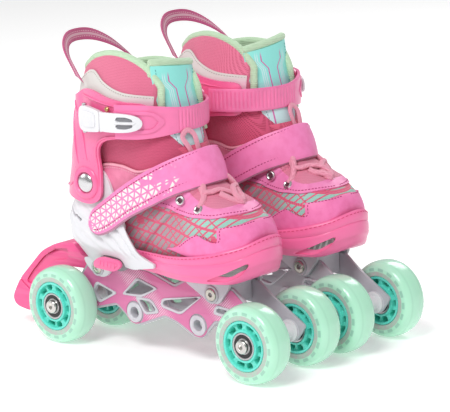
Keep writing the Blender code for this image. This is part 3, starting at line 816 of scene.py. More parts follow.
def frame_plates():
    silver = moulded("plate_silver", (0.5, 0.49, 0.53), (0.44, 0.43, 0.47), 0.4)
    rims_look = moulded("plate_rims", LIGHT_GREY, (0.56, 0.56, 0.6), 0.36)
    outline = rounded(FRAME_OUTLINE, 3.0, 3)
    axles = [circle(x, AXLE_Z, 4.5) for x in (-AXLE_X, AXLE_X)]
    bushes = [circle(x, AXLE_Z, 6.0) for x in (-SPARE_X, SPARE_X)]
    body = plate_of(outline, -PLATE_OUT + 0.6, -PLATE_IN, [*plate_windows(0.0), *axles, *bushes], 0.5)
    inner = object_of(body.data.copy())
    inner.data.transform(Matrix.Diagonal((1, -1, 1, 1)))
    inner.data.flip_normals()
    fit(body, "outer_plate", "frames", silver, ["frame_outer"])
    fit(inner, "inner_plate", "frames", silver, ["frame_inner"])
    face = plate_of(rounded(offset(FRAME_OUTLINE, -1.9), 2.6, 3), -PLATE_OUT, -PLATE_OUT + 0.9,
                    [*plate_windows(1.9, radius=3.6), *[circle(x, AXLE_Z, 9.6) for x in (-AXLE_X, AXLE_X)],
                     *[circle(x, AXLE_Z, 9.6) for x in (-SPARE_X, SPARE_X)]], 0.2)
    fit(face, "outer_plate_print", "frames", decal_look())
    rims = [
        plate_of(
            rounded(offset(window, 2.0), 3.6), -PLATE_OUT - 0.7, -PLATE_OUT + 0.8, [rounded(window, 3.2)],
            0.45
        ) for window in FRAME_WINDOWS
    ]
    for x in (-SPARE_X, SPARE_X):
        bush = turned(
            [
                (4.6, 3.0), (4.6, -3.4), (5.2, -4.0), (8.0, -4.0), (8.4, -3.6), (8.4, -1.6), (9.4, -0.9),
                (9.4, 0.4), (8.4, 0.9), (8.4, 5.0), (5.0, 5.0)
            ],
            48
        )
        bush.data.transform(Matrix.Translation((x, -PLATE_IN, AXLE_Z)))
        rims.append(bush)
    for x in (-AXLE_X, AXLE_X):
        boss = turned([(4.6, 1.0), (4.6, -3.6), (9.0, -3.6), (9.5, -3.1), (9.5, 0.0)], 48)
        boss.data.transform(Matrix.Translation((x, -PLATE_IN, AXLE_Z)))
        rims.append(boss)
    relief = joined(rims)
    inside = object_of(relief.data.copy())
    inside.data.transform(Matrix.Diagonal((1, -1, 1, 1)))
    inside.data.flip_normals()
    fit(relief, "outer_plate_rims", "frames", rims_look)
    fit(inside, "inner_plate_rims", "frames", rims_look)


def bolts():
    bright = steel("bolt_steel", (0.6, 0.56, 0.5), 0.25)
    seats = moulded("bolt_seats", (0.5, 0.5, 0.53), (0.42, 0.42, 0.45), 0.4)
    for name, x, z, y, radius in (
        ("rear_frame", -70.8, 64.9, -20.8, 4.6), ("front_frame", 53.0, 61.0, -20.4, 5.2)
    ):
        for edge, way in (("outer", 1), ("inner", -1)):
            head = bolt_head(radius, 1.7, 2.2)
            seat = turned(
                [
                    (radius + 0.2, 0.3), (radius + 0.3, -0.9), (radius + 1.9, -0.9), (radius + 2.2, -0.4),
                    (radius + 2.2, 0.3)
                ],
                40
            )
            for obj, part, look in ((head, "bolt", bright), (seat, "bolt_seat", seats)):
                obj.data.transform(
                    Matrix.Translation((x, way * y, z)) @ Matrix.Rotation(0 if way > 0 else math.pi, 4, "Z")
                )
                fit(obj, f"{name}_{edge}_{part}", "frames", look, own_frame=False)


def front_bracket():
    grey = moulded("bracket_grey", (0.6, 0.6, 0.64), (0.5, 0.5, 0.54), 0.4)
    ear = [(24.5, 73.4), (24.5, 67.6), (50.0, 54.5), (60.0, 53.5), (71.6, 68.7), (71.6, 73.4)]
    top = plate_of([(24.5, 70.7), (71.6, 70.7), (71.6, 73.4), (24.5, 73.4)], -20.3, 20.3, round_by=0.6)
    pieces = [top]
    for way in (-1, 1):
        low, high = sorted((way * 17.4, way * 20.3))
        pieces.append(plate_of(rounded(ear, 4.0), low, high, round_by=0.8))
    pieces.append(
        plate_of([(44.0, 52.0), (66.0, 52.0), (66.0, 72.0), (44.0, 72.0)], -13.6, 13.6, round_by=0.8)
    )
    for x in (28.0, 34.0):
        pieces.append(
            plate_of([(x, 66.0), (x + 1.6, 66.0), (x + 1.6, 71.0), (x, 71.0)], -13.0, 13.0, round_by=0.3)
        )
    fit(joined(pieces), "front_bracket_body", "frames", grey, ["front_bracket"])


BRAKE_OUTLINE = [
    (-105.0, 80.0), (-125.0, 77.0), (-143.0, 68.0), (-161.0, 50.0), (-171.0, 40.0), (-179.0, 27.0),
    (-181.0, 21.0), (-177.0, 15.0), (-159.0, 12.5), (-153.0, 20.0), (-151.0, 33.0), (-143.0, 46.0),
    (-127.0, 56.5), (-110.0, 59.0), (-86.0, 60.0), (-88.0, 68.0), (-96.0, 70.0), (-102.0, 76.0),
]


def brake():
    """The curved arm, hollowed along both sides, with a crease on each side and a channel cut into it."""
    look = Look("brake_plastic", Coat_Weight=0.2, Coat_Roughness=0.25)
    # Painted shade: faces that point downwards are darkened to a deep red, as if in the shadow under the arm.
    under = look.node("NewGeometry", {}, 1)
    facing = look.node("SeparateXYZ", {0: under}, 2)
    deep = look.step(facing, -0.2, -0.75)
    cloud = look.noise(0.06, 3.0)
    worn = look.times(look.step(look.z, 18.0, 13.0), look.step(look.noise(0.35, 4.0), 0.45, 0.7))
    base = look.mix(cloud, (0.93, 0.12, 0.33), (0.86, 0.09, 0.28))
    look.colour(look.mix(look.times(worn, 0.6), look.mix(deep, base, (0.5, 0.005, 0.03)), (0.45, 0.1, 0.16)))
    look.rough(look.math("MULTIPLY_ADD", look.noise(0.5, 3.0), 0.16, 0.27))
    look.bump(look.noise(0.7, 3.0), 0.05)
    arm = plate_of(rounded(BRAKE_OUTLINE, 6.0, 4), -13.4, 13.4)
    hollow = [
        (-112.0, 74.0), (-126.0, 72.0), (-141.0, 63.5), (-156.0, 48.5), (-164.0, 38.5), (-158.5, 36.0),
        (-147.0, 49.0), (-130.0, 61.0), (-112.0, 64.5)
    ]
    crease = [(-172.5, 39.5), (-171.0, 40.6), (-158.0, 31.6), (-152.0, 31.0), (-152.0, 29.8), (-158.6, 30.2)]
    channel = [
        (-148.0, 20.0), (-147.0, 34.0), (-139.0, 43.0), (-126.0, 51.0), (-108.0, 55.0), (-100.0, 50.0),
        (-100.0, 20.0),
    ]
    cutters = [plate_of(rounded(hollow, 3.5), -16.0, -11.6), plate_of(rounded(hollow, 3.5), 11.6, 16.0),
               plate_of(crease, -16.0, -12.6), plate_of(crease, 12.6, 16.0),
               plate_of(rounded(channel, 2.0), -10.6, 10.6)]
    arm = cut(arm, cutters)
    fit(edges_rounded(arm, 1.5, 3, 35), "brake_arm", "frames", look, ["brake"])


frame_plates()
bolts()
front_bracket()
brake()

# ---------------------------------------------------------------- hard shells

HEEL_BACK = [(58, -86.0), (70, -93.0), (80, -100.0), (90, -105.0), (110, -107.0), (124, -105.5),
             (135, -104.0), (150, -99.6), (190, -90.5), (212, -88.0), (232, -91.0)]
PIVOT_X, PIVOT_Z = -61.0, 141.0


def heel_back(z):
    return curve_at(z, HEEL_BACK)


def shell_half_width(x, z):
    low = curve_at(z, [(72, 25.0), (80, 30.5), (88, 35.5), (100, 37.0)])
    forward = eased((x + 45.0) / 40.0)
    return low + (37.0 - low) * forward + 3.5 * forward


def both_sides(columns):
    other = [[(x, -y, z) for x, y, z in column] for column in reversed(columns[:-1])]
    return [list(row) for row in zip(*(columns + other))]


# The heel shell's lower and upper edge at each place along it
SHELL_FRONT = [
    (-61.0, 71.0, 153.0), (-52.0, 71.0, 152.5), (-44.0, 71.5, 150.0), (-33.0, 72.5, 129.0),
    (-23.0, 74.0, 111.0), (-13.0, 75.5, 98.0), (-3.0, 77.5, 88.0), (10.0, 80.0, 83.0),
]


def ribs(x, z):
    """How far the fluted ribs of the heel shell stand out at a place on its side."""
    fan = (z - 71.0) * 0.92 + (x + 105.0) * 0.62
    lean = fan + 0.0035 * (x + 60.0) ** 2
    ridge = abs(math.sin(lean * math.pi / 11.5)) ** 0.7
    inside = eased((z - 82.0) / 8.0) * eased((125.0 - z) / 9.0) * eased((2.0 - x) / 12.0)
    clear = eased((math.hypot(x - PIVOT_X, z - PIVOT_Z) - 17.0) / 8.0)
    return 1.9 * ridge * inside * clear


def cuff_gap(z):
    return 0.7 * eased((z - 110.0) / 10.0)


def heel_shell():
    columns = []
    rows = 56
    for k in range(44):
        x = 10.0 + (PIVOT_X - 10.0) * k / 44
        low = curve_at(x, [(a, b) for a, b, _ in SHELL_FRONT])
        high = curve_at(x, [(a, c) for a, _, c in SHELL_FRONT])
        column = []
        for r in range(rows + 1):
            z = low + (high - low) * r / rows
            column.append((x, 0.7 + cuff_gap(z) - shell_half_width(x, z) - ribs(x, z), z))
        columns.append(column)
    for k in range(37):
        fraction = 1 - k / 36
        high = curve_at(
            fraction, [(0.0, 137.0), (0.2, 138.5), (0.4, 142.0), (0.6, 147.0), (0.8, 152.0), (1.0, 153.0)]
        )
        a = fraction * math.pi / 2
        column = []
        for r in range(rows + 1):
            z = 71.0 + (high - 71.0) * r / rows
            inset = 5.5 * eased((z - 104.0) / 15.0)
            back = heel_back(z) + inset - 0.4
            x = PIVOT_X - (PIVOT_X - back) * math.cos(a)
            half = shell_half_width(PIVOT_X, z) + ribs(x, z) * math.sin(a) - 0.7 - cuff_gap(z)
            x -= ribs(x - 4.0, z) * math.cos(a) * 0.8
            column.append((x, -half * math.sin(a), z))
        columns.append(column)
    wall = sheet_of(both_sides(columns))
    bm = bmesh.new()
    bm.from_mesh(wall.data)
    low_edge = [v for v in bm.verts if v.co.z < 71.3 and v.co.x < -46.0]
    rim = [e for e in bm.edges if e.is_boundary and all(v in low_edge for v in e.verts)]
    made = bmesh.ops.extrude_edge_only(bm, edges=rim)
    for v in (g for g in made["geom"] if isinstance(g, bmesh.types.BMVert)):
        v.co.y *= 0.9
        v.co.z = 70.8
        v.co.x = -61.0 + (v.co.x + 61.0) * 0.94
    made = bmesh.ops.extrude_edge_only(
        bm, edges=[e for e in made["geom"] if isinstance(e, bmesh.types.BMEdge)]
    )
    for v in (g for g in made["geom"] if isinstance(g, bmesh.types.BMVert)):
        v.co.y *= 0.02
    bm.to_mesh(wall.data)
    bm.free()
    shell = outwards(thick(outwards(wall), 2.3, -1.0))
    pocket = plate_of(rounded(PUSH_POCKET, 4.0), -50.0, -21.0)
    slots = []
    for dx, dz, length in ((0.0, 0.0, 17.0), (15.5, 5.5, 9.0)):
        turn = Matrix.Translation((-95.0 + dx, 0, 117.0 - dz)) @ Matrix.Rotation(0.42, 4, "Y")
        slot = plate_of(
            rounded([(0.0, -0.9), (length, -1.3), (length, 1.0), (0.0, 0.7)], 1.0, 2), -60.0, 60.0
        )
        slot.data.transform(turn)
        slots.append(slot)
    shell = cut(shell, [pocket, *slots])
    white = Look("shell_white", Coat_Weight=0.15, Coat_Roughness=0.25)
    cloud = white.noise(0.04, 3.0)
    # Painted shade: the white greys towards the shell's lower edge, as if less light reached it there.
    low = white.step(white.z, 100.0, 74.0)
    white.colour(
        white.mix(
            white.times(low, 0.5), white.mix(cloud, (0.8, 0.8, 0.83), (0.74, 0.74, 0.77)), (0.66, 0.66, 0.7)
        )
    )
    white.rough(white.math("MULTIPLY_ADD", white.noise(0.6, 2.0), 0.14, 0.3))
    white.bump(white.noise(0.8, 3.0), 0.04)
    fit(shell, "heel_shell_body", "frames", white, ["heel_shell"], smooth=32)
    lobes = [
        plate_of(
            rounded(
                [(-54.0, 72.5), (-58.0, 62.0), (-64.0, 57.5), (-74.0, 58.5), (-84.0, 66.0), (-87.0, 72.5)],
                5.0
            ),
            *sorted((way * 17.4, way * 20.8)), round_by=0.8
        ) for way in (-1, 1)
    ]
    fit(joined(lobes), "heel_shell_lobes", "frames", white)
    # Painted shade: a dark sheet behind the button's pocket stands in for the shade inside the shell.
    inside = plate_of(rounded(offset(PUSH_POCKET, 1.0), 4.0), -24.3, -22.6)
    fit(inside, "button_recess", "frames", moulded("button_pocket_painted_shade", (0.3, 0.3, 0.32), (0.25, 0.25, 0.27), 0.5))


PUSH_BUTTON = [(-63.0, 69.5), (-62.0, 75.5), (-54.0, 79.5), (-34.0, 78.5), (-32.0, 73.5), (-40.0, 68.5)]
PUSH_POCKET = offset(PUSH_BUTTON[::-1], 0.8)


def push_button():
    key = plate_of(rounded(PUSH_BUTTON, 4.0), -34.0, -31.0, round_by=1.0)
    raised = plate_of(rounded(offset(PUSH_BUTTON, -2.6), 2.6), -34.5, -33.0, round_by=0.5)
    grips = [
        plate_of(
            [(x, 71.8), (x + 0.9, 71.8), (x + 1.7, 76.4), (x + 0.8, 76.4)], -34.9, -33.6, round_by=0.25
        ) for x in (-55.5, -51.5, -47.5, -43.5, -39.5)
    ]
    fit(
        joined([key, raised, *grips]), "push_button_key", "button",
        moulded("button_pink", PINK, PINK_SHADE, 0.3), ["push_button"]
    )


def toe_half_width(x):
    if x > 40.0:
        return 43.0 * math.sqrt(max(0.0, 1 - ((x - 40.0) / 60.0) ** 2))
    return curve_at(x, [(-18, 32.5), (0, 35.0), (10, 37.0), (25, 41.0), (40, 43.0)])


def sole_rise(x):
    return 9.0 * eased((x - 78.0) / 26.0)


def seam_height(x):
    return curve_at(x, [(-18, 90), (10, 91), (40, 94), (70, 99), (90, 106), (100, 112)])


# The toe shell's section from under the sole to its rim: the share of the way out, and of the way up
WALL = [
    (0.0, 0.0), (0.3, 0.0), (0.6, 0.0), (0.8, 0.0), (0.88, 0.0), (0.93, 0.02), (0.955, 0.08),
    (0.965, 0.16), (0.975, 0.24), (0.99, 0.27), (1.0, 0.34), (1.0, 0.46), (0.998, 0.56), (0.995, 0.63),
    (0.985, 0.655), (0.984, 0.67), (0.992, 0.69), (0.993, 0.78), (0.99, 0.88), (0.982, 0.94), (0.968, 0.985),
    (0.955, 1.0), (0.94, 1.0), (0.93, 0.97),
]


def toe_column(x, swing):
    """The sole and the stepped wall at x, or where the toe's edge has swung round to the front."""
    a = swing * math.pi / 2
    edge_x = x + 60.0 * math.sin(a)
    half = toe_half_width(x) * math.cos(a)
    top = seam_height(edge_x)
    low = 74.0 + sole_rise(edge_x)
    column = []
    for inward, up in WALL:
        at_x = x + (edge_x - x) * inward
        floor_z = 74.0 + sole_rise(at_x)
        column.append((at_x, -half * inward, floor_z + (top - low) * up))
    return column


def toe_shell():
    columns = [toe_column(-18.0 + 58.0 * k / 24, 0.0) for k in range(24)]
    columns += [toe_column(40.0, k / 44) for k in range(45)]
    shell = outwards(thick(sheet_of(both_sides(columns)), 2.0, -1.0))
    pink = Look("toe_plastic", Coat_Weight=0.2, Coat_Roughness=0.22)
    cloud = pink.noise(0.04, 3.0)
    pink.colour(pink.mix(cloud, (0.95, 0.19, 0.42), (0.9, 0.15, 0.36)))
    pink.rough(pink.math("MULTIPLY_ADD", pink.noise(0.5, 2.0), 0.16, 0.26))
    pink.bump(pink.noise(0.7, 3.0), 0.04)
    for hollow in VENTS:
        shell = cut(shell, [vent_solid(hollow, 0.0, -2.2, 5.0)])
    fit(shell, "toe_shell_body", "toe_unit", pink, ["toe_shell"], smooth=40)
    nets = joined([vent_solid(hollow, 0.9, 3.0, 0.6) for hollow in VENTS])
    fit(nets, "toe_vent_nets", "toe_unit", vent_look())
    path = []
    for k in range(-60, 61):
        t = abs(k) / 60
        if t < 0.45:
            x, swing = -10.0 + 50.0 * t / 0.45, 0.0
        else:
            x, swing = 40.0, (t - 0.45) / 0.55
        inward = WALL[20][0]
        a = swing * math.pi / 2
        edge_x = x + 60.0 * math.sin(a)
        half = toe_half_width(x) * math.cos(a)
        z = 74.0 + sole_rise(x + (edge_x - x) * inward) + (
            seam_height(edge_x) - 74.0 - sole_rise(edge_x)
        ) * 0.93
        path.append(Vector((x + (edge_x - x) * 0.984, -half * 0.984 * (1 if k < 0 else -1), z)))
    path = sorted(path[:60], key=lambda p: p.x) + sorted(path[61:], key=lambda p: -p.x)
    out = lambda p: Vector((p.x - 40.0 if p.x > 40 else 0.0, p.y, 0.0)).normalized()
    thread = stitches(path, 2.6, 1.3, 0.34, 0.25, out)
    fit(
        thread, "sole_stitching", "toe_unit",
        moulded("sole_thread", (0.75, 0.06, 0.2), (0.66, 0.05, 0.16), 0.6)
    )


# Vents, by their swing round the toe and their share of the wall's height
VENTS = [[(0.26, 0.13), (0.36, 0.30), (0.66, 0.46), (0.70, 0.40), (0.62, 0.20), (0.45, 0.11)]]
VENTS.append([(-s, u) for s, u in reversed(VENTS[0])])


def wall_point(swing, up, inset):
    """A point on the toe's wall; the swing is negative on the inner side."""
    a = abs(swing) * math.pi / 2
    edge_x = 40.0 + (60.0 - inset) * math.sin(a)
    half = (43.0 - inset) * math.cos(a)
    low = 74.0 + sole_rise(edge_x)
    return Vector((edge_x, half * (-1 if swing > 0 else 1), low + (seam_height(edge_x) - low) * up))


def vent_solid(outline, shrink, inset, depth):
    """The prism that cuts a vent, or the net that fills it, following the wall's curve."""
    points = rounded([(s * 100, u * 22) for s, u in outline], 2.4, 4)
    if shrink:
        points = offset(points, shrink * 0.6)
    loops = []
    for level in range(2):
        loops.append([wall_point(p[0] / 100, p[1] / 22, inset + depth * level) for p in points])
    count = len(points)
    faces = [list(range(count)), list(range(count, 2 * count))[::-1]]
    faces += [[k, (k + 1) % count, count + (k + 1) % count, count + k] for k in range(count)]
    obj = from_faces([*loops[0], *loops[1]], faces)
    return outwards(changed(obj, "TRIANGULATE"))


def vent_look():
    look = Look("vent_net", Metallic=0.2)
    mesh_x = look.wave(look.add(look.x, look.y), 1.1)
    mesh_z = look.wave(look.z, 1.0)
    net = look.math("MAXIMUM", mesh_x, mesh_z)
    look.colour(look.mix(look.step(net, 0.4, 0.9), (0.12, 0.13, 0.13), (0.5, 0.52, 0.51)))
    look.rough(look.math("MULTIPLY_ADD", net, 0.2, 0.35))
    look.bump(net, 0.25)
    return look


heel_shell()
push_button()
toe_shell()

# ---------------------------------------------------------------- fabrics

CUFF_BEND = ("frames", "cuff_unit", (-45.0, 0.0, 148.0), (-45.0, 0.0, 186.0))
TONGUE_BEND = ("frames", "cuff_unit", (20.0, 0.0, 172.0), (20.0, 0.0, 194.0))
LOOP_BEND = ("frames", "cuff_unit", (28.0, 0.0, 164.0), (28.0, 0.0, 182.0))
TOE_BEND = ("frames", "toe_unit", (-7.0, 0.0, 133.0), (29.0, 0.0, 97.0))


def lay_of(look):
    """The piece's lengthwise and crosswise distances, in millimetres."""
    uv = look.nodes.new("ShaderNodeUVMap")
    uv.uv_map = "lay"
    split = look.nodes.new("ShaderNodeSeparateXYZ")
    look.links.new(uv.outputs[0], split.inputs[0])
    return split.outputs[0], split.outputs[1]


def knit(look, pitch=1.3):
    """The height of an open knit: rows of small round holes, staggered."""
    u = look.add(look.x, look.times(look.y, 0.9))
    v = look.z
    one = look.wave(look.add(u, look.times(v, 0.55)), pitch)
    two = look.wave(look.less(u, look.times(v, 0.55)), pitch)
    return look.math("MAXIMUM", one, two)


def knit_look(name, thread, hole, pitch=1.3):
    look = Look(name, Sheen_Weight=0.25, Sheen_Roughness=0.5)
    height = knit(look, pitch)
    cloud = look.noise(0.05, 2.0)
    shade = look.mix(cloud, thread, tuple(c * 0.86 for c in thread))
    look.colour(look.mix(look.step(height, 0.3, 0.75), hole, shade))
    look.rough(look.math("MULTIPLY_ADD", height, 0.1, 0.66))
    look.bump(height, 0.22)
    return look


def vamp_look():
    """Open knit with a broken slanted print, silver at the heel and turquoise at the toe."""
    look = Look("printed_knit", Sheen_Weight=0.15, Sheen_Roughness=0.5)
    height = knit(look, 1.35)
    red = look.mix(look.step(height, 0.25, 0.75), (0.52, 0.05, 0.13), (0.8, 0.13, 0.24))
    row = look.add(look.z, look.times(look.x, 0.16))
    slant = look.add(look.x, look.times(look.z, -0.95))
    rows = look.tooth(row, 10.6)
    shift = look.times(look.math("FLOOR", look.times(row, 1 / 10.6)), 4.3)
    columns = look.tooth(look.add(slant, shift), 6.8)
    crossing = look.tooth(look.add(look.x, look.times(look.z, 1.5), shift), 23.0)
    block = look.times(
        look.band(rows, 0.09, 0.9, 0.02), look.band(columns, 0.1, 0.82, 0.03), look.band(
            crossing, 0.03, 0.96, 0.015
        )
    )
    kept = look.step(look.noise(0.06, 1.0), 0.34, 0.38)
    dots = look.math("MULTIPLY_ADD", look.times(look.wave(look.x, 1.25), look.wave(look.z, 1.25)), -0.45, 1.0)
    reach = look.times(
        look.step(look.x, -34.0, -20.0), look.step(look.z, 86.0, 92.0), look.step(look.z, 142.0, 138.0)
    )
    printed = look.times(block, kept, dots, reach)
    tone = look.mix(
        look.step(look.add(look.x, look.times(look.z, 0.3)), 60.0, 92.0), (0.34, 0.37, 0.38),
        (0.24, 0.71, 0.58)
    )
    look.colour(look.mix(look.times(printed, 0.95), red, tone))
    look.rough(look.math("MULTIPLY_ADD", printed, -0.25, 0.7))
    look.bump(look.add(look.times(height, 0.6), look.times(printed, 0.4)), 0.22)
    return look


def coated(name, light, dark, fleck=None):
    """Soft coated fabric with a fine leather grain; fleck may add a print and its relief."""
    look = Look(name, Coat_Weight=0.1, Coat_Roughness=0.35)
    grain = look.cells(1.1)
    creases = look.noise(0.16, 4.0)
    colour = look.mix(look.step(creases, 0.3, 0.75), light, dark)
    height = look.add(look.times(grain, 0.5), look.times(creases, 0.8))
    if fleck:
        colour, height = fleck(look, colour, height)
    look.colour(colour)
    look.rough(look.math("MULTIPLY_ADD", look.noise(0.7, 2.0), 0.16, 0.38))
    look.bump(height, 0.13)
    return look


def shards(look, colour, height):
    """Clusters of white triangles along the lower half of a strap."""
    u, v = lay_of(look)
    period = 6.4
    inside = None
    for degrees in (90, 30, -30):
        c, s = math.cos(math.radians(degrees)), math.sin(math.radians(degrees))
        line = look.math(
            "ABSOLUTE", look.less(look.tooth(look.add(look.times(u, c), look.times(v, s)), period), 0.5)
        )
        edge = look.step(line, 0.41, 0.36)
        inside = edge if inside is None else look.times(inside, edge)
    left = look.step(u, 92.0, 56.0)
    island = look.step(look.add(look.noise(0.13, 1.0, look.join(u, v)), look.times(left, 0.35)), 0.56, 0.6)
    middle = look.times(
        look.step(v, 2.6, 3.4), look.step(v, 27.0, 24.5), look.step(u, 3.5, 5.0), look.step(u, 104.0, 98.0)
    )
    printed_part = look.times(inside, island, middle)
    return look.mix(printed_part, colour, (0.84, 0.83, 0.8)), look.add(height, look.times(printed_part, 0.9))


def lining_look():
    look = Look("soft_lining", Sheen_Weight=0.4, Sheen_Roughness=0.45)
    raised = look.wave(look.add(look.z, look.times(look.noise(0.3, 2.0), 0.6)), 1.5)
    look.colour(look.mix(look.noise(0.25, 3.0), (0.48, 0.68, 0.45), (0.58, 0.76, 0.54)))
    look.rough(look.math("MULTIPLY_ADD", raised, 0.1, 0.72))
    look.bump(look.add(raised, look.noise(1.6, 2.0)), 0.2)
    return look


# ---------------------------------------------------------------- boot

SECTIONS = [
    (27.0, 176.0, -90.0, 152.0, 33.0), (31.0, 170.0, -89.0, 126.0, 30.0), (35.0, 165.0, -91.5, 102.0, 31.0),
    (38.0, 159.5, -87.0, 86.0, 30.5), (41.0, 154.0, -72.0, 82.0, 31.5), (43.5, 149.5, -26.0, 82.0, 31.0),
    (45.5, 146.0, -19.0, 79.5, 29.0), (53.0, 141.5, 10.0, 79.5, 33.0), (64.0, 135.5, 38.0, 79.5, 37.5),
    (76.0, 128.5, 60.0, 80.0, 34.3), (84.5, 122.5, 77.0, 82.0, 26.9), (90.0, 116.0, 86.5, 86.0, 19.0),
    (91.6, 107.0, 90.4, 93.5, 8.0), (93.0, 101.0, 92.0, 99.0, 0.5),
]


def boot_point(s, degrees):
    """A place on the boot: s counts the sections from the heel, and the turn starts over the foot."""
    s = min(max(s, 0.0), len(SECTIONS) - 1.0001)
    k = int(s)
    t = s - k
    near = [SECTIONS[min(max(k + d, 0), len(SECTIONS) - 1)] for d in (-1, 0, 1, 2)]
    top_x, top_z, sole_x, sole_z, half = (
        0.5 * (
            2 * b + (c - a) * t + (2 * a - 5 * b + 4 * c - d) * t**2 + (3 * b - a - 3 * c + d) * t**3
        ) for a, b, c, d in zip(*near)
    )
    top, sole = Vector((top_x, 0, top_z)), Vector((sole_x, 0, sole_z))
    middle = sole * 0.6 + top * 0.4
    a = math.radians(degrees)
    up, out = math.cos(a), math.sin(a)
    reach = (top - middle) if up > 0 else (middle - sole)
    rise = up if up > 0 else -abs(up) ** 0.8
    side = math.copysign(abs(out) ** (0.8 if up > 0 else 0.45), out)
    return middle + reach * rise + Vector((0, -half * side, 0))


def boot_normal(s, degrees):
    along = boot_point(s + 0.06, degrees) - boot_point(s - 0.06, degrees)
    round_ = boot_point(s, degrees + 1.5) - boot_point(s, degrees - 1.5)
    normal = along.cross(round_).normalized()
    return normal if normal.dot(boot_point(s, degrees) - Vector((20, 0, 110))) > 0 else -normal


def on_boot(s, degrees, height=0.0):
    return boot_point(s, degrees) + boot_normal(s, degrees) * height


def patched(outline, low, high, place, step_u, step_v, holes=()):
    """A patch bent onto a surface by place(u, v, height): an outline in (u, v) with a thickness."""
    flat = plate_of(outline, low, high, holes)
    bm = bmesh.new()
    bm.from_mesh(flat.data)
    for axis, step in ((0, step_u), (2, step_v)):
        values = [v.co[axis] for v in bm.verts]
        position = math.ceil(min(values) / step) * step
        while position < max(values):
            normal = Vector((1, 0, 0)) if axis == 0 else Vector((0, 0, 1))
            bmesh.ops.bisect_plane(
                bm, geom=bm.verts[:] + bm.edges[:] + bm.faces[:], plane_co=normal * position,
                plane_no=normal, dist=1e-4
            )
            position += step
    for v in bm.verts:
        v.co = place(v.co.x, v.co.z, v.co.y)
    bmesh.ops.recalc_face_normals(bm, faces=bm.faces)
    bm.to_mesh(flat.data)
    bm.free()
    return flat


def boot_patch(outline, low, high, holes=()):
    """A patch whose outline is in (section, degrees / 10)."""
    return patched(outline, low, high, lambda u, v, h: on_boot(u, v * 10, h), 0.16, 0.5, holes)


def smooth_loop(points, steps=5):
    """A closed smooth outline through the points."""
    count = len(points)
    made = []
    for k in range(count):
        a, b, c, d = (Vector((*points[(k + i) % count], 0)) for i in (-1, 0, 1, 2))
        for step in range(steps):
            t = step / steps
            p = 0.5 * (
                2 * b + (c - a) * t + (2 * a - 5 * b + 4 * c - d) * t**2 + (3 * b - a - 3 * c + d) * t**3
            )
            made.append((p.x, p.y))
    return made


CAP_EDGE = [
    (6.9, 10.4), (7.35, 9.5), (7.75, 7.9), (8.05, 7.2), (8.5, 7.3), (8.95, 7.4), (9.12, 6.9), (8.82, 5.4),
    (9.0, 4.9), (9.45, 4.0), (9.9, 2.6), (10.12, 0.8)
]
STAY_LOWER = [
    (2.6, 7.2), (3.6, 6.7), (4.6, 6.35), (6.1, 6.2), (7.05, 5.85), (7.65, 5.2), (8.25, 4.4), (8.7, 3.1),
    (9.08, 1.5), (9.25, 0.0)
]
STAY_UPPER = [
    (2.6, 4.3), (3.6, 3.95), (4.6, 3.8), (5.8, 3.8), (6.85, 3.75), (7.6, 3.5), (8.1, 2.8), (8.4, 1.5),
    (8.48, 0.0)
]
EYELETS = [(3.55, 5.3), (5.0, 5.05), (7.2, 4.55)]


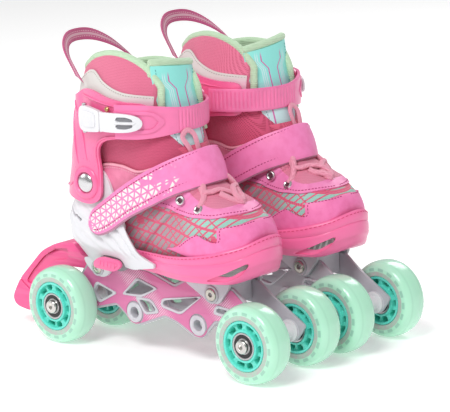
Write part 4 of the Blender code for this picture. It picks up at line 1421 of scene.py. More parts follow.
def boot():
    rows = []
    for k in range(131):
        s = 13.0 * k / 130
        rows.append([boot_point(s, 360.0 * (c + 0.5) / 88) for c in range(88)])
    rows = list(zip(*rows))
    rows = [list(r) for r in rows] + [list(rows[0])]
    skin = outwards(sheet_of(rows))
    fit(
        skin, "boot_upper", "frames", vamp_look(), ["upper", "liner"], bend=TOE_BEND,
        smooth=60
    )
    strap_pink = coated("stay_coating", (0.92, 0.27, 0.55), (0.86, 0.22, 0.48))
    loop = smoothed([(*p, 0) for p in STAY_LOWER], 4)
    hole = smoothed([(*p, 0) for p in STAY_UPPER], 4)
    outer = [(p.x, p.y) for p in loop] + [(p.x, -p.y) for p in reversed(loop[:-1])]
    inner = [(p.x, p.y) for p in hole] + [(p.x, -p.y) for p in reversed(hole[:-1])]
    stay = boot_patch(outer + inner[::-1], -0.2, 1.3)
    fit(edges_rounded(stay, 0.4, 2, 40), "eyelet_stay", "frames", strap_pink, bend=TOE_BEND)
    cap_line = smoothed([(*p, 0) for p in CAP_EDGE], 3)
    outline = [(p.x, p.y) for p in cap_line] + [(p.x, -p.y) for p in reversed(cap_line)] + [
        (11.0, -10.4), (12.2, -9.0), (12.75, -4.0), (12.75, 4.0), (12.2, 9.0), (11.0, 10.4)
    ]
    cap_pink = coated("cap_coating", (0.93, 0.22, 0.5), (0.87, 0.18, 0.43))
    cap = boot_patch(outline, -0.3, 1.5)
    fit(edges_rounded(cap, 0.45, 2, 40), "toe_cap", "toe_unit", cap_pink)
    thread = moulded("pink_thread", (0.5, 0.03, 0.16), (0.42, 0.03, 0.14), 0.6)
    for name, line, inward, height in (
        ("cap_stitching", CAP_EDGE[1:], (0.13, -0.16), 1.5),
        ("stay_stitching", STAY_LOWER, (-0.1, -0.35), 1.3)
    ):
        path = smoothed([(*p, 0) for p in line], 6)
        both = [(p.x + inward[0], p.y + inward[1]) for p in path]
        both = [p for p in both if p[1] > 0]
        spots = [on_boot(u, v * 10, height) for u, v in both]
        far = [on_boot(u, -v * 10, height) for u, v in both]
        threads = joined(
            [
                stitches(
                    side, 1.8, 1.0, 0.36, 0.2, lambda p: (p - Vector((20, 0, 105))).normalized()
                ) for side in (spots, far)
            ]
        )
        if name == "stay_stitching":
            fit(threads, name, "frames", thread, bend=TOE_BEND)
        else:
            fit(threads, name, "toe_unit", thread)
    tongue_line = [(2.2, 4.4), (4.0, 4.0), (6.0, 3.95), (7.4, 3.7), (8.1, 3.0), (8.5, 1.7), (8.6, 0.6)]
    vamp = boot_patch(
        [(u, v) for u, v in tongue_line] + [(u, -v) for u, v in reversed(tongue_line)], -0.5, 1.0
    )
    fit(
        vamp, "vamp_tongue", "frames", knit_look("tongue_knit", (0.88, 0.28, 0.42), (0.66, 0.14, 0.26), 1.1),
        bend=TOE_BEND, smooth=60
    )
    rings, laces, pits = [], [], []
    for s, v in EYELETS:
        for way in (-1, 1):
            place, out = on_boot(s, way * v * 10, 1.2), boot_normal(s, way * v * 10)
            ring = turned([(2.1, 0.2), (2.1, -0.9), (2.8, -1.3), (3.7, -1.05), (4.2, -0.2), (4.1, 0.2)], 28)
            ring.data.transform(Matrix.Translation(place) @ out.to_track_quat("-Y", "Z").to_matrix().to_4x4())
            rings.append(ring)
            # Painted shade: a dark disc fills each eyelet's hole, standing in for the shade inside it.
            pit = turned([(0.0, -0.3), (2.2, -0.3), (2.2, 0.3), (0.0, 0.3)], 16, closed=False)
            pit.data.transform(Matrix.Translation(place) @ out.to_track_quat("-Y", "Z").to_matrix().to_4x4())
            pits.append(pit)
    fit(
        joined(pits), "eyelet_hole_painted_shade", "frames",
        moulded("eyelet_painted_shade", (0.12, 0.03, 0.06), (0.09, 0.02, 0.04), 0.6), bend=TOE_BEND
    )
    fit(joined(rings), "eyelets", "frames", steel("eyelet_silver", (0.75, 0.75, 0.75), 0.25), bend=TOE_BEND)

    holes = [(10.7, 26.0, 139.5), (28.6, 25.0, 136.5), (48.1, 25.8, 131.0)]
    climb = [
        (28.8, 23.0, 141.0), (29.0, 20.5, 145.5), (33.0, 18.0, 148.2), (40.0, 15.5, 145.6),
        (46.5, 18.0, 139.6), (48.5, 22.5, 134.4)
    ]
    cross = [
        (14.0, -2.0, 160.0), (22.0, 3.0, 155.5), (31.0, 8.5, 151.6), (40.0, 13.0, 148.6),
        (46.0, 17.0, 142.6), (48.6, 21.5, 136.2)
    ]
    front = [
        (45.5, 19.0, 142.4), (51.0, 14.5, 142.6), (54.5, 7.5, 143.6), (60.5, 1.0, 140.6),
        (67.0, -2.4, 136.6), (70.5, 0.0, 134.4)
    ]
    back = [(66.0, 4.6, 136.0), (60.0, 8.0, 139.0), (56.0, 10.0, 141.0)]
    top = [
        (10.7, 23.0, 143.0), (13.0, 16.0, 150.0), (20.0, 7.0, 154.5), (27.0, -2.0, 153.2),
        (29.5, -12.0, 150.0), (29.0, -20.0, 144.0)
    ]
    for way in (-1, 1):
        raise_by = 0.0 if way < 0 else 2.2
        for route in ([*climb, holes[2]], [*cross, holes[2]], [*front, *back], [holes[0], *top]):
            spots = [
                (x, way * y, z + (raise_by if 2 < k < len(route) - 2 else 0.0)) for k,
                (x, y, z) in enumerate(route)
            ]
            laces.append(tube(smoothed(spots, 7), 2.5, 10, 0.8))
    weave = Look("lace_weave", Sheen_Weight=0.3, Sheen_Roughness=0.4)
    turn = weave.add(weave.x, weave.y, weave.z)
    cross = weave.less(weave.x, weave.add(weave.y, weave.z))
    plait = weave.math("MAXIMUM", weave.wave(turn, 0.9), weave.wave(cross, 0.9))
    weave.colour(weave.mix(plait, (0.84, 0.25, 0.38), (0.95, 0.4, 0.53)))
    weave.rough(weave.math("MULTIPLY_ADD", plait, 0.1, 0.68))
    weave.bump(plait, 0.2)
    fit(joined(laces), "laces", "frames", weave, bend=TOE_BEND, smooth=60)
    knot = tube(
        smoothed(
            [
                (30.0, -9.0, 166.0), (27.0, -12.0, 175.0), (22.5, -14.0, 183.0), (22.0, -8.0, 187.5),
                (24.5, -3.0, 184.0), (28.0, -3.0, 176.0), (31.0, -4.0, 168.0)
            ],
            7
        ),
        2.3, 10, 0.55
    )
    fit(knot, "lace_loop", "frames", weave, smooth=60, bend=LOOP_BEND)


# ---------------------------------------------------------------- ankle, collar and tongue


def cuff_half_width(x, z, inset):
    lift = eased((z - 150.0) / 35.0)
    half = 40.0 + 6.6 * lift
    centre = PIVOT_X + (-28.0 - PIVOT_X) * lift
    reach = centre - heel_back(z) if x < centre else 46.6 + 100.0 * (1.0 - lift)
    return (half - inset) * math.sqrt(max(0.0, 1 - ((x - centre) / reach) ** 2))


def ankle():
    """The knit of the boot between the instep and the collar, seen through the cuff's opening."""
    rows = []
    for k in range(25):
        z = 128.0 + 66.0 * k / 24
        back = heel_back(z) + 6.5
        front = curve_at(z, [(128, 46.0), (150, 40.0), (165, 29.0), (176, 22.0), (194, 13.0)])
        half = curve_at(z, [(128, 31.0), (150, 32.5), (165, 34.5), (180, 37.5), (194, 39.0)])
        centre, reach = (front + back) / 2, (front - back) / 2
        row = []
        for c in range(72):
            a = 2 * math.pi * c / 72
            up, out = math.cos(a), math.sin(a)
            row.append(
                (
                    centre + reach * math.copysign(abs(up) ** 0.8, up),
                    half * math.copysign(abs(out) ** 0.75, out), z
                )
            )
        rows.append(row)
    fit(
        outwards(sheet_of(rows, ring=True)), "ankle_knit", "frames",
        knit_look("ankle_knit", (0.72, 0.1, 0.22), (0.45, 0.04, 0.1), 1.3), bend=CUFF_BEND,
        smooth=60
    )
    band_rows = []
    for k in range(7):
        row = []
        for c in range(41):
            x = -58.0 + 88.0 * c / 40
            top = curve_at(
                x, [(-58, 150.0), (-44, 157.0), (-25, 158.0), (-8, 155.0), (10, 160.0), (30, 164.0)]
            )
            z = top - 26.0 + 26.0 * k / 6
            back, front = heel_back(z) + 6.5, curve_at(
                z, [(128, 46.0), (150, 40.0), (165, 29.0), (176, 22.0), (194, 13.0)]
            )
            half = curve_at(z, [(128, 31.0), (150, 32.5), (165, 34.5), (180, 37.5), (194, 39.0)])
            centre, reach = (front + back) / 2, (front - back) / 2
            share = min(0.999, abs((x - centre) / reach)) ** (1 / 0.8)
            y = half * (1 - share**2) ** 0.375 + 1.2
            row.append((x, -y, z))
        band_rows.append(row)
    bands = []
    for way in (1, -1):
        bands.append(
            thick(outwards(sheet_of([[(x, way * y, z) for x, y, z in row] for row in band_rows])), 1.3, 0.0)
        )
    fit(
        joined(bands), "counter_band", "frames",
        coated("counter_coating", (0.86, 0.25, 0.42), (0.78, 0.2, 0.35)), smooth=60
    )
    trims = [tube([Vector((x, way * (y - 0.3), z)) for x, y, z in band_rows[-1]], 1.2, 8) for way in (1, -1)]
    fit(
        joined(trims), "counter_binding", "frames",
        coated("counter_edge", (0.9, 0.42, 0.52), (0.84, 0.36, 0.46)), smooth=60
    )
    thread = moulded("counter_thread", (0.86, 0.5, 0.58), (0.78, 0.42, 0.5), 0.6)
    lines = []
    for way in (1, -1):
        path = [Vector((x, way * (y - 1.0), z - 2.2)) for x, y, z in band_rows[-1]]
        lines.append(stitches(path, 1.6, 0.9, 0.26, 0.1, lambda p: Vector((0, p.y, 0)).normalized()))
    fit(joined(lines), "counter_stitching", "frames", thread)


def rim_height(x, back, near):
    """The collar's top edge: the side towards the camera stands taller."""
    if back is None:
        high = curve_at(x, [(-61, 241.0), (-45, 245.0), (-30, 245.2), (-15, 241.5), (-4, 235.0), (3, 227.0)])
        low = curve_at(x, [(-61, 230.0), (-45, 232.5), (-30, 232.5), (-15, 231.0), (-4, 228.5), (5, 222.0)])
    else:
        high = curve_at(back, [(0, 227.0), (0.5, 231.0), (0.8, 236.5), (1, 241.0)])
        low = curve_at(back, [(0, 227.0), (0.5, 226.0), (0.8, 228.0), (1, 230.0)])
    return high if near else low


def collar_columns(tall, levels, extra=0.0, low_z=None, high_z=None):
    """Columns round the collar, from the front of one side over the back to the front of the other.

    levels is a list of (share of the height, inset) steps; tall is the side (-1 or +1) that stands higher.
    """
    places = [(5.0 - 66.0 * k / 26, None) for k in range(26)] + [(None, 1 - k / 18) for k in range(19)]
    spots = [(p, -1) for p in places] + [(p, 1) for p in reversed(places[:-1])]
    columns = []
    for (x, back), side in spots:
        near = side == tall
        top = rim_height(x, back, near)
        column = []
        for share, inset in levels:
            if low_z is not None:
                bottom = low_z(x, back)
            elif back is None:
                bottom = curve_at(x, [(-61, 176.0), (-46, 178.0), (-40, 187.0), (5, 188.0)])
            else:
                bottom = 176.0
            ceiling = top if high_z is None else high_z(x, back, near)
            z = bottom + (ceiling - bottom) * share
            inside = inset - extra + (13.5 if near else 11.0) * eased((z - 203.0) / 46.0)
            if back is None:
                at_x = x
                half = cuff_half_width(x, z, inside)
                half *= 1 - 0.1 * eased((x + 18.0) / 24.0)
            else:
                a = back * math.pi / 2
                edge = heel_back(z) + inside * 0.55 + 1.5
                at_x = PIVOT_X - (PIVOT_X - edge) * math.cos(a)
                half = cuff_half_width(PIVOT_X, z, inside) * math.sin(a)
            column.append(Vector((at_x, side * half, z)))
        columns.append(column)
    return columns


def band_crest(x, back, _):
    """The zigzag top edge of the collar's coated band."""
    if back is None:
        return curve_at(x, [(-61, 231.5), (-54, 232.0), (-40, 225.0), (-20, 219.0), (5, 215.5)])
    return curve_at(back, [(0, 219.0), (0.6, 222.5), (1, 231.5)])


def collar_out(p):
    return Vector((p.x + 40.0 if p.x < -60 else 0.0, p.y, 0)).normalized()


def collar():
    green = lining_look()
    knit_pink = knit_look("collar_knit", (0.86, 0.2, 0.34), (0.62, 0.1, 0.2), 1.25)
    band = Look("collar_coating", Coat_Weight=0.15, Coat_Roughness=0.3)
    fade = band.step(band.add(band.z, band.times(band.noise(0.06, 2.0), 4.0)), 209.0, 219.0)
    band.colour(band.mix(fade, (0.86, 0.5, 0.62), (0.68, 0.66, 0.63)))
    band.rough(band.math("MULTIPLY_ADD", band.noise(0.7, 2.0), 0.15, 0.35))
    band.bump(band.add(band.times(band.cells(1.1), 0.5), band.noise(0.2, 3.0)), 0.12)
    thread = moulded("grey_thread", (0.45, 0.42, 0.38), (0.38, 0.35, 0.32), 0.6)
    for side, tall in (("right", -1), ("left", 1)):
        outer = [(k / 12, 5.2 - 1.2 * math.sin(math.pi * k / 12)) for k in range(12)]
        roll = [(0.985, 5.6), (1.0, 6.8), (1.012, 8.6), (1.0, 10.4), (0.98, 11.6)]
        inner = [(0.93 - 0.93 * k / 8, 12.2 + 1.5 * math.sin(math.pi * k / 8)) for k in range(9)]
        columns = collar_columns(tall, outer + roll + inner)
        closed = [column + [column[0]] for column in columns]
        body = sheet_of([list(row) for row in zip(*closed)])
        ends = []
        for column in (columns[0], columns[-1]):
            middle = sum(column, Vector()) / len(column)
            count = len(column)
            ends.append(from_faces([*column, middle], [(k, (k + 1) % count, count) for k in range(count)]))
        body = outwards(joined([body, *ends]))
        fit(
            body, "collar_body", "cuff_unit", knit_pink, ["collar"], sides=(side,),
            smooth=60
        )
        inside = [(1.0 - k / 10, 11.5 + 1.6 * math.sin(math.pi * k / 10)) for k in range(11)]
        lining = sheet_of([list(row) for row in zip(*collar_columns(tall, inside, extra=-0.9))])
        fit(outwards(lining), "collar_lining", "cuff_unit", green, sides=(side,), smooth=60)
        spots = [column[0] for column in collar_columns(tall, [(1.0, 8.4)])]
        front = [spots[0] + Vector((1.6 + 0.35 * k, 0.0, -5.0 * k)) for k in range(8, 0, -1)]
        back = [spots[-1] + Vector((1.6 + 0.35 * k, 0.0, -5.0 * k)) for k in range(1, 9)]
        for k, p in enumerate(front):
            p.y = spots[0].y + (spots[0].y - 0.0) * 0.022 * (8 - k)
        for k, p in enumerate(back):
            p.y = spots[-1].y + (spots[-1].y - 0.0) * 0.022 * (k + 1)
        path = smoothed(front + spots[1:-1:2] + back, 3)
        fit(tube(path, 3.1, 12), "collar_binding", "cuff_unit", green, sides=(side,), smooth=60)
        wall = [(k / 6, 5.0) for k in range(7)]
        shell = sheet_of(
            [
                list(row) for row in zip(
                    *collar_columns(tall, wall, extra=1.9, low_z=lambda x, back: 196.0, high_z=band_crest)
                )
            ]
        )
        fit(
            thick(outwards(shell), 1.0, 0.0), "collar_band", "cuff_unit", band, sides=(side,),
            smooth=60
        )
        line = [
            c[0] - Vector((0, 0, 1.6)) for c in collar_columns(
                tall, [(1.0, 4.2)], extra=2.2, high_z=band_crest
            )
        ]
        fit(
            stitches(line, 1.5, 0.9, 0.3, 0.15, collar_out), "collar_stitching", "cuff_unit", thread,
            sides=(side,)
        )


TONGUE_ROWS = [
    (24.0, 170.0, 15.0), (20.0, 181.0, 18.0), (16.0, 192.0, 20.5), (11.8, 204.0, 22.5), (8.0, 217.0, 24.0),
    (5.8, 229.0, 24.4), (4.6, 237.0, 24.2)
]


def tongue_point(side, height, out):
    """A place on the tongue's front face: side from -1 to 1, its height, and how far out of it."""
    low = [(z, x) for x, z, _ in TONGUE_ROWS]
    half = curve_at(height, [(z, w) for _, z, w in TONGUE_ROWS])
    x = curve_at(height, low)
    lean = Vector((1.0, 0.0, 0.35)).normalized()
    tilt = 2.4 * side * eased((height - 200.0) / 40.0)
    return Vector((x - 5.0 * side * side, half * side, height - tilt * 1.2)) + lean * out


def tongue():
    face = Look("tongue_face", Coat_Weight=0.15, Coat_Roughness=0.3)
    side = face.math("ABSOLUTE", face.y)
    low = face.step(face.z, 216.0, 190.0)
    base = face.mix(low, (0.3, 0.83, 0.76), (0.6, 0.82, 0.83))
    bend = face.math("ABSOLUTE", face.less(face.z, 211.0))
    shape = face.math("MINIMUM", face.math("MAXIMUM", face.times(face.less(bend, 8.0), 0.9), 0.0), 6.0)
    lines = None
    for reach, colour, width in (
        (5.2, (0.66, 0.14, 0.42), 0.55), (8.6, (0.72, 0.85, 0.9), 0.3), (10.4, (0.72, 0.85, 0.9), 0.3),
        (12.2, (0.72, 0.85, 0.9), 0.25)
    ):
        gap = face.math("ABSOLUTE", face.less(side, face.add(shape, reach)))
        mark = face.times(
            face.step(gap, width + 0.25, width - 0.1), face.step(face.z, 234.0, 228.0),
            face.step(side, 17.5, 16.5)
        )
        base = face.mix(mark, base, colour)
    face.colour(base)
    face.rough(face.math("MULTIPLY_ADD", face.noise(0.8, 2.0), 0.14, 0.36))
    face.bump(face.add(face.times(face.cells(1.2), 0.5), face.noise(0.2, 3.0)), 0.12)
    rows = []
    for k in range(37):
        z = 170.0 + 66.0 * k / 36
        front = [tongue_point(s / 12, z, 1.6 * (1 - abs(s / 12) ** 4)) for s in range(-12, 13)]
        rows.append(front)
    panel = thick(outwards(sheet_of(rows)), 1.2, 0.0)
    fit(panel, "tongue_panel", "cuff_unit", face, ["tongue"], smooth=60, bend=TONGUE_BEND)
    rows = []
    for k in range(37):
        z = 171.0 + 66.0 * k / 36
        ring = []
        for c in range(40):
            a = 2 * math.pi * c / 40
            ring.append(
                tongue_point(
                    1.03 * math.copysign(abs(math.cos(a)) ** 0.7, math.cos(a)), z,
                    -2.8 + 2.9 * math.copysign(abs(math.sin(a)) ** 0.8, math.sin(a))
                )
            )
        rows.append(ring)
    green = lining_look()
    fit(
        outwards(sheet_of(rows, ring=True)), "tongue_padding", "cuff_unit", green, smooth=60,
        bend=TONGUE_BEND
    )
    crest = [tongue_point(s / 10, 238.2 + 1.0 * math.cos(s / 10), -1.2) for s in range(-10, 11)]
    fit(tube(crest, [2.6, *[3.3] * 19, 2.6], 12), "tongue_roll", "cuff_unit", green, smooth=60)
    thread = moulded("tongue_thread", (0.1, 0.36, 0.36), (0.08, 0.3, 0.3), 0.6)
    lines = [
        stitches(
            [tongue_point(way * 0.88, 172.0 + 62.0 * k / 30, 1.6) for k in range(31)], 1.5, 1.0, 0.26, 0.12,
            lambda p: Vector((1, 0, 0.3)).normalized()
        ) for way in (-1, 1)
    ]
    fit(joined(lines), "tongue_stitching", "cuff_unit", thread, bend=TONGUE_BEND)


boot()
ankle()
collar()
tongue()

# ---------------------------------------------------------------- cuff, straps and buckle

HEEL_ARC = 62.0


def on_cuff(u, z, out):
    """A place on the cuff: u runs in millimetres from the middle of the back, plus towards the outer side."""
    side, reach = math.copysign(1.0, u), abs(u)
    if reach < HEEL_ARC:
        a = reach / HEEL_ARC * math.pi / 2
        x = PIVOT_X - (PIVOT_X - heel_back(z) + out) * math.cos(a)
        return Vector((x, -side * cuff_half_width(PIVOT_X, z, -out) * math.sin(a), z))
    x = PIVOT_X + reach - HEEL_ARC
    return Vector((x, -side * cuff_half_width(x, z, -out), z))


CUFF_HALF = [
    (0.0, 128.4), (20.0, 128.0), (34.0, 127.0), (50.0, 125.2), (60.0, 124.0), (68.0, 124.6), (74.5, 127.5),
    (78.2, 133.0), (79.0, 145.0),
    (79.4, 158.0), (80.6, 167.0), (84.0, 174.5), (90.5, 179.0), (100.0, 181.4), (112.0, 183.2),
    (126.0, 184.6), (127.0, 197.0), (125.5, 209.5),
    (109.0, 212.2), (93.0, 215.0), (83.0, 217.6), (75.0, 219.0), (66.0, 218.4), (58.0, 215.6), (48.0, 212.4),
    (34.0, 209.8), (18.0, 208.2), (0.0, 207.4),
]


def ridge(points, size):
    """A tapered rib along places (u, z) of the cuff."""
    path = smoothed([(u, z, 0.0) for u, z in points], 7)
    count = len(path) - 1
    sizes = [0.15 + size * math.sin(math.pi * min(1.0, 0.12 + k / count * 0.85)) for k in range(count + 1)]
    spots = [on_cuff(p.x, p.y, 0.1) for p in path]
    return tube(spots, sizes, 8)


def cuff():
    pink = moulded("cuff_plastic", PINK, PINK_SHADE, 0.3, 0.25)
    half = [(p.x, p.y) for p in smoothed([(*p, 0) for p in CUFF_HALF], 4)]
    outline = half + [(-u, z) for u, z in reversed(half[1:-1])]
    shell = patched(outline, -2.5, 0.0, on_cuff, 3.0, 4.0)
    fit(edges_rounded(shell, 0.8, 3, 40), "cuff_shell", "cuff_unit", pink, ["cuff"], smooth=50)
    lines = [
        [(24.0, 203.0), (36.0, 192.0), (48.0, 172.0), (54.0, 156.0)],
        [(40.0, 206.0), (52.0, 196.0), (62.0, 178.0), (66.0, 160.0)],
        [(60.0, 213.5), (70.0, 213.0), (84.0, 211.0), (100.0, 208.6), (114.0, 207.0)],
        [
            (76.2, 140.0), (76.6, 156.0), (78.0, 168.0), (82.0, 176.5), (90.0, 181.6), (102.0, 184.2),
            (118.0, 186.0)
        ],
        [(8.0, 133.0), (26.0, 133.5), (40.0, 136.5), (48.0, 143.0)],
    ]
    raised = [ridge([(way * u, z) for u, z in line], 0.95) for line in lines for way in (1, -1)]
    fit(joined(raised), "cuff_ribs", "cuff_unit", pink, smooth=60)
    bosses, rivets = [], []
    for way in (-1, 1):
        boss = turned([(8.6, 1.0), (8.8, -1.0), (9.6, -1.7), (12.0, -1.6), (13.4, -0.6), (13.9, 1.0)], 48)
        rivet = turned(
            [(0.0, -2.9), (3.5, -2.8), (6.0, -2.2), (7.6, -1.2), (8.3, -0.2), (8.3, 1.2), (0.0, 1.2)], 40,
            closed=False
        )
        for piece in (boss, rivet):
            if way > 0:
                piece.data.transform(Matrix.Rotation(math.pi, 4, "Z"))
            piece.data.transform(Matrix.Translation((PIVOT_X, way * 40.0, PIVOT_Z)))
        bosses.append(boss)
        rivets.append(rivet)
    fit(joined(bosses), "cuff_bosses", "cuff_unit", pink)
    fit(joined(rivets), "cuff_rivets", "cuff_unit", steel("rivet_steel", (0.72, 0.72, 0.73), 0.22))


STRAP_MIDDLE, STRAP_RADIUS = -28.0, 49.9


def strap_place(degrees, z, out):
    a = math.radians(degrees)
    radius = STRAP_RADIUS + out
    return Vector((STRAP_MIDDLE + radius * math.cos(a), radius * math.sin(a), z))


def cuff_strap():
    rubber = moulded("strap_rubber", STRAP, tuple(c * 0.88 for c in STRAP), 0.34, 0.1)
    rows = []
    steps = 16
    for r in range(steps + 1):
        v = r / steps
        row = []
        for k in range(313):
            degrees = -78.0 + 156.0 * k / 312
            deeper = eased(-degrees / 60.0)
            low, high = 187.0 - 4.0 * deeper, 206.0 + 4.5 * deeper
            bite = abs(math.sin(math.radians(degrees) * 45.0)) ** 0.6
            inside = eased((v - 0.1) / 0.07) * eased((0.9 - v) / 0.07) * eased((degrees + 20.0) / 3.0)
            edge = 0.35 * (1 - eased(v / 0.09)) + 0.35 * (1 - eased((1 - v) / 0.09))
            row.append(strap_place(degrees, low + (high - low) * v, -0.75 * (1 - bite) * inside - edge))
        rows.append(row)
    strap = edges_rounded(thick(outwards(sheet_of(rows)), 2.4, -1.0), 0.5, 2, 60)
    fit(strap, "ratchet_strap", "cuff_unit", rubber, ["cuff_strap"], smooth=40)
    fork = []
    for reach, wide in ((1.0, 0.9), (0.62, 0.6)):
        outline = [
            (-78.0 + (1 - reach) * 9.0, 196.7 - 9.6 * wide), (-46.0, 196.7 - 9.6 * wide),
            (-34.0 - (1 - reach) * 14.0, 196.7 - 4.0 * wide), (-31.0 - (1 - reach) * 16.0, 196.7),
            (-34.0 - (1 - reach) * 14.0, 196.7 + 4.0 * wide), (-46.0, 196.7 + 9.6 * wide),
            (-78.0 + (1 - reach) * 9.0, 196.7 + 9.6 * wide)
        ]
        fork.append([(p.x, p.y) for p in smoothed([(*p, 0) for p in outline], 4)])
    fork_plate = patched(fork[0], -0.3, 0.9, strap_place, 2.0, 3.0, [fork[1][::-1]])
    fit(edges_rounded(fork_plate, 0.35, 2, 40), "strap_fork", "cuff_unit", rubber)
    pin = turned([(0.0, -1.0), (1.5, -0.8), (2.0, -0.2), (2.0, 1.2), (0.0, 1.2)], 24, closed=False)
    brass = steel("pin_brass", (0.62, 0.44, 0.2), 0.3)
    spot = strap_place(-86.0, 206.2, 0.2)
    fit(pin, "strap_pin", "cuff_unit", brass, at=tuple(spot), own_frame=True)


def on_lever(u, z, out):
    """A place on the buckle: u runs in millimetres from its front tip back round the cuff."""
    arc = math.radians(39.0) * 51.0
    if u < arc:
        a = math.radians(-51.0) - u / 51.0
        return Vector((STRAP_MIDDLE + (51.0 + out) * math.cos(a), (51.0 + out) * math.sin(a), z))
    x = STRAP_MIDDLE - (u - arc)
    return Vector((x, -(51.0 + out) + 0.0165 * (x - STRAP_MIDDLE) ** 2 * 0.35, z))


def buckle():
    white = moulded("buckle_white", (0.82, 0.82, 0.84), (0.74, 0.74, 0.77), 0.3, 0.2)
    # dark is painted shade, laid under the lever's holes.
    dark = moulded("lever_hole_painted_shade", (0.25, 0.25, 0.27), (0.2, 0.2, 0.22), 0.5)
    z0 = 196.6
    tip = [
        (0.0, 0.0), (1.2, 3.2), (5.0, 5.6), (12.0, 7.2), (22.0, 7.7), (33.0, 7.6), (35.6, 7.0), (35.6, -7.0),
        (33.0, -7.6), (22.0, -7.7), (12.0, -7.2), (5.0, -5.6), (1.2, -3.2)
    ]
    lever_line = smooth_loop([(u, z0 + v) for u, v in tip], 3)
    holes = []
    for way in (1, -1):
        hole = [(7.0, 1.1), (20.0, 1.1), (21.5, 2.4), (20.0, 4.8), (13.0, 4.9), (8.0, 3.4)]
        holes.append([(p[0], p[1]) for p in rounded([(u, z0 + way * v) for u, v in hole], 1.0, 2)])
    lever = patched(lever_line, 0.9, 2.9, on_lever, 2.0, 3.0, holes)
    fit(edges_rounded(lever, 0.6, 3, 40), "lever_top", "buckle", white, ["buckle_lever"])
    # Painted shade: a dark patch beneath the lever's holes stands in for the shade under the lever.
    back_line = rounded([(8.0, z0 - 5.6), (22.0, z0 - 6.0), (22.0, z0 + 6.0), (8.0, z0 + 5.6)], 2.0, 3)
    fit(patched(back_line, 0.2, 1.3, on_lever, 2.0, 3.0), "lever_recess", "buckle", dark)
    rib_path = [on_lever(u, z0, 3.0) for u in range(5, 24, 2)]
    fit(tube(rib_path, [0.4, *[0.9] * 8, 0.4], 8), "lever_rib", "buckle", white)
    base = [
        (34.0, 8.2), (40.0, 9.4), (48.0, 10.6), (55.0, 10.6), (59.0, 8.6), (60.5, 3.5), (60.5, -3.5),
        (59.0, -8.0), (55.0, -9.8), (48.0, -9.8), (40.0, -9.0), (34.0, -8.2)
    ]
    base_line = rounded([(u + 2.2, z0 + v) for u, v in base], 2.0, 3)
    block = patched(base_line, 0.0, 3.4, on_lever, 2.0, 3.0)
    fit(edges_rounded(block, 0.9, 3, 40), "lever_base", "buckle", white)
    step = patched(
        rounded([(u * 0.62 + 19.5, z0 + 0.4 + v * 0.62) for u, v in base], 2.0, 3), 3.0, 4.1, on_lever, 2.0,
        3.0
    )
    fit(edges_rounded(step, 0.45, 2, 40), "lever_step", "buckle", white)
    barrel = turned(
        [(0.0, -12.0), (1.6, -12.0), (2.0, -11.5), (2.0, 11.5), (1.6, 12.0), (0.0, 12.0)], 20, closed=False
    )
    barrel.data.transform(Matrix.Translation((-51.5, -47.3, z0)) @ Matrix.Rotation(math.pi / 2, 4, "X"))
    fit(outwards(barrel), "buckle_pin", "cuff_unit", steel("pin_steel"))


# The instep strap's two edges, from its outer end to the middle over the foot
INSTEP_LOW = [
    (-57.0, -39.6, 103.0), (-52.8, -39.6, 99.5), (-35.7, -39.8, 105.5), (-12.8, -40.2, 120.0),
    (7.0, -37.0, 130.5), (25.5, -29.0, 140.5), (41.0, -15.0, 146.5), (47.0, 0.0, 148.5)
]
INSTEP_HIGH = [
    (-59.0, -39.6, 110.5), (-55.0, -39.6, 118.5), (-34.0, -39.8, 133.5), (-11.3, -39.2, 148.5),
    (6.0, -34.5, 159.0), (20.5, -25.5, 167.0), (31.0, -13.0, 172.0), (34.0, 0.0, 174.0)
]


def whole_edge(half):
    return evenly(smoothed(half + [(x, -y, z) for x, y, z in reversed(half[:-1])], 6), 2.0)


def instep_strap():
    low, high = whole_edge(INSTEP_LOW), whole_edge(INSTEP_HIGH)
    count = 110
    rows = []
    for r in range(15):
        v = r / 14
        row = []
        for k in range(count + 1):
            t = k / count
            a, b = low[round(t * (len(low) - 1))], high[round(t * (len(high) - 1))]
            ends = min(k, count - k) / 5.0
            pinch = (1 - math.sqrt(max(0.0, 1 - (1 - ends) ** 2))) * 0.5 if ends < 1 else 0.0
            w = pinch + (1 - 2 * pinch) * v
            out = Vector(
                (0.25, math.copysign(1.0, a.y) * min(1.0, abs(a.y) / 26.0), 0.35 + (40.0 - abs(a.y)) / 40.0)
            ).normalized()
            bulge = 1.3 * math.sin(math.pi * w) * (1 - abs(2 * t - 1)) + 0.5 * math.sin(math.pi * w)
            row.append(a.lerp(b, w) + out * bulge)
        rows.append(row)
    for _ in range(2):
        rows = [
            [
                row[k] if k in (0, count) else (
                    row[k - 1] + row[k] * 2 + row[k + 1]
                ) / 4 for k in range(count + 1)
            ] for row in rows
        ]
    outer = thick(outwards(sheet_of(rows)), 2.3, 1.0)
    pink = coated("instep_coating", (0.93, 0.25, 0.54), (0.88, 0.21, 0.47), shards)
    fit(
        edges_rounded(outer, 0.7, 2, 50), "instep_band", "frames", pink, ["instep_strap"],
        smooth=50
    )
    thread = moulded("strap_thread", (0.5, 0.03, 0.16), (0.42, 0.03, 0.14), 0.6)

    def outward(p):
        return Vector((0.25, p.y / 30.0, 0.35 + (40.0 - abs(p.y)) / 40.0)).normalized()

    lines = []
    for r in (2, 12):
        path = [p + outward(p) * 2.45 for p in rows[r][3:-3]]
        lines.append(stitches(path, 1.9, 1.0, 0.4, 0.2, outward))
    fit(joined(lines), "instep_stitching", "frames", thread)
    edge = coated("strap_edge", (0.5, 0.22, 0.33), (0.42, 0.18, 0.28))
    trim = [p + outward(p) * 0.7 + Vector((0.2, 0, -0.4)) for p in rows[0]]
    fit(tube(trim, 1.5, 8), "instep_edge", "frames", edge, smooth=60)
    backing = thick(outwards(sheet_of([[p - outward(p) * 0.2 for p in row] for row in rows[::2]])), 0.8, -1.0)
    fit(backing, "instep_backing", "frames", edge, smooth=60)


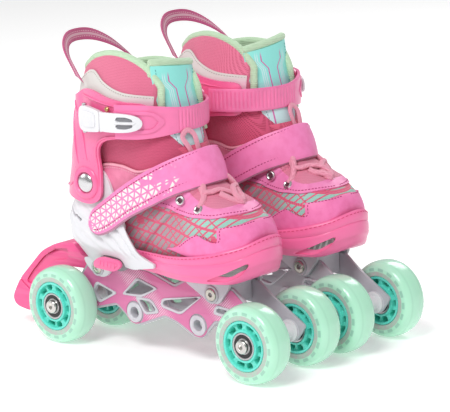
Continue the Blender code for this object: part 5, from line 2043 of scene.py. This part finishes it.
LOOP_EDGE = [
    (-62.0, -36.5, 222.0), (-72.0, -33.5, 231.0), (-86.0, -26.5, 240.5), (-97.0, -14.5, 246.5),
    (-101.0, 0.0, 248.0)
]
LOOP_ACROSS = [(-9.0, 0.0, 5.0), (-8.5, 0.0, 6.0), (-7.0, 0.0, 8.0), (-4.0, 0.0, 9.5), (-2.5, 0.0, 9.8)]


def pull_loop():
    low = smoothed(LOOP_EDGE + [(x, -y, z) for x, y, z in reversed(LOOP_EDGE[:-1])], 8)
    high = smoothed(
        [tuple(a + b for a, b in zip(p, q)) for p, q in zip(LOOP_EDGE, LOOP_ACROSS)] + [
            (x + dx, -y, z + dz) for (x, y, z),
            (dx, _, dz) in reversed(list(zip(LOOP_EDGE, LOOP_ACROSS))[:-1])
        ],
        8
    )
    rows = [[a.lerp(b, r / 8) for a, b in zip(low, high)] for r in range(9)]
    web = Look("webbing", Sheen_Weight=0.2, Sheen_Roughness=0.4)
    u, v = lay_of(web)
    twill = web.math("MAXIMUM", web.wave(web.add(u, v), 0.8), web.times(web.wave(web.less(u, v), 1.1), 0.7))
    stripe = web.times(web.step(v, 3.9, 4.2), web.step(v, 6.3, 6.0))
    seams = web.add(
        web.times(web.step(v, 2.5, 2.7), web.step(v, 3.3, 3.1)),
        web.times(web.step(v, 6.9, 7.1), web.step(v, 7.7, 7.5))
    )
    pink = web.mix(twill, (0.5, 0.07, 0.2), (0.7, 0.12, 0.3))
    web.colour(
        web.mix(
            web.times(seams, web.step(web.wave(u, 2.2), 0.35, 0.5)),
            web.mix(stripe, pink, (0.8, 0.45, 0.55)), (0.86, 0.6, 0.66)
        )
    )
    web.rough(web.math("MULTIPLY_ADD", twill, 0.1, 0.66))
    web.bump(twill, 0.25)
    fit(
        edges_rounded(thick(outwards(sheet_of(rows)), 1.5, 1.0), 0.4, 2, 50), "heel_loop", "cuff_unit", web,
        ["pull_loop"], smooth=50
    )


cuff()
cuff_strap()
buckle()
instep_strap()
pull_loop()
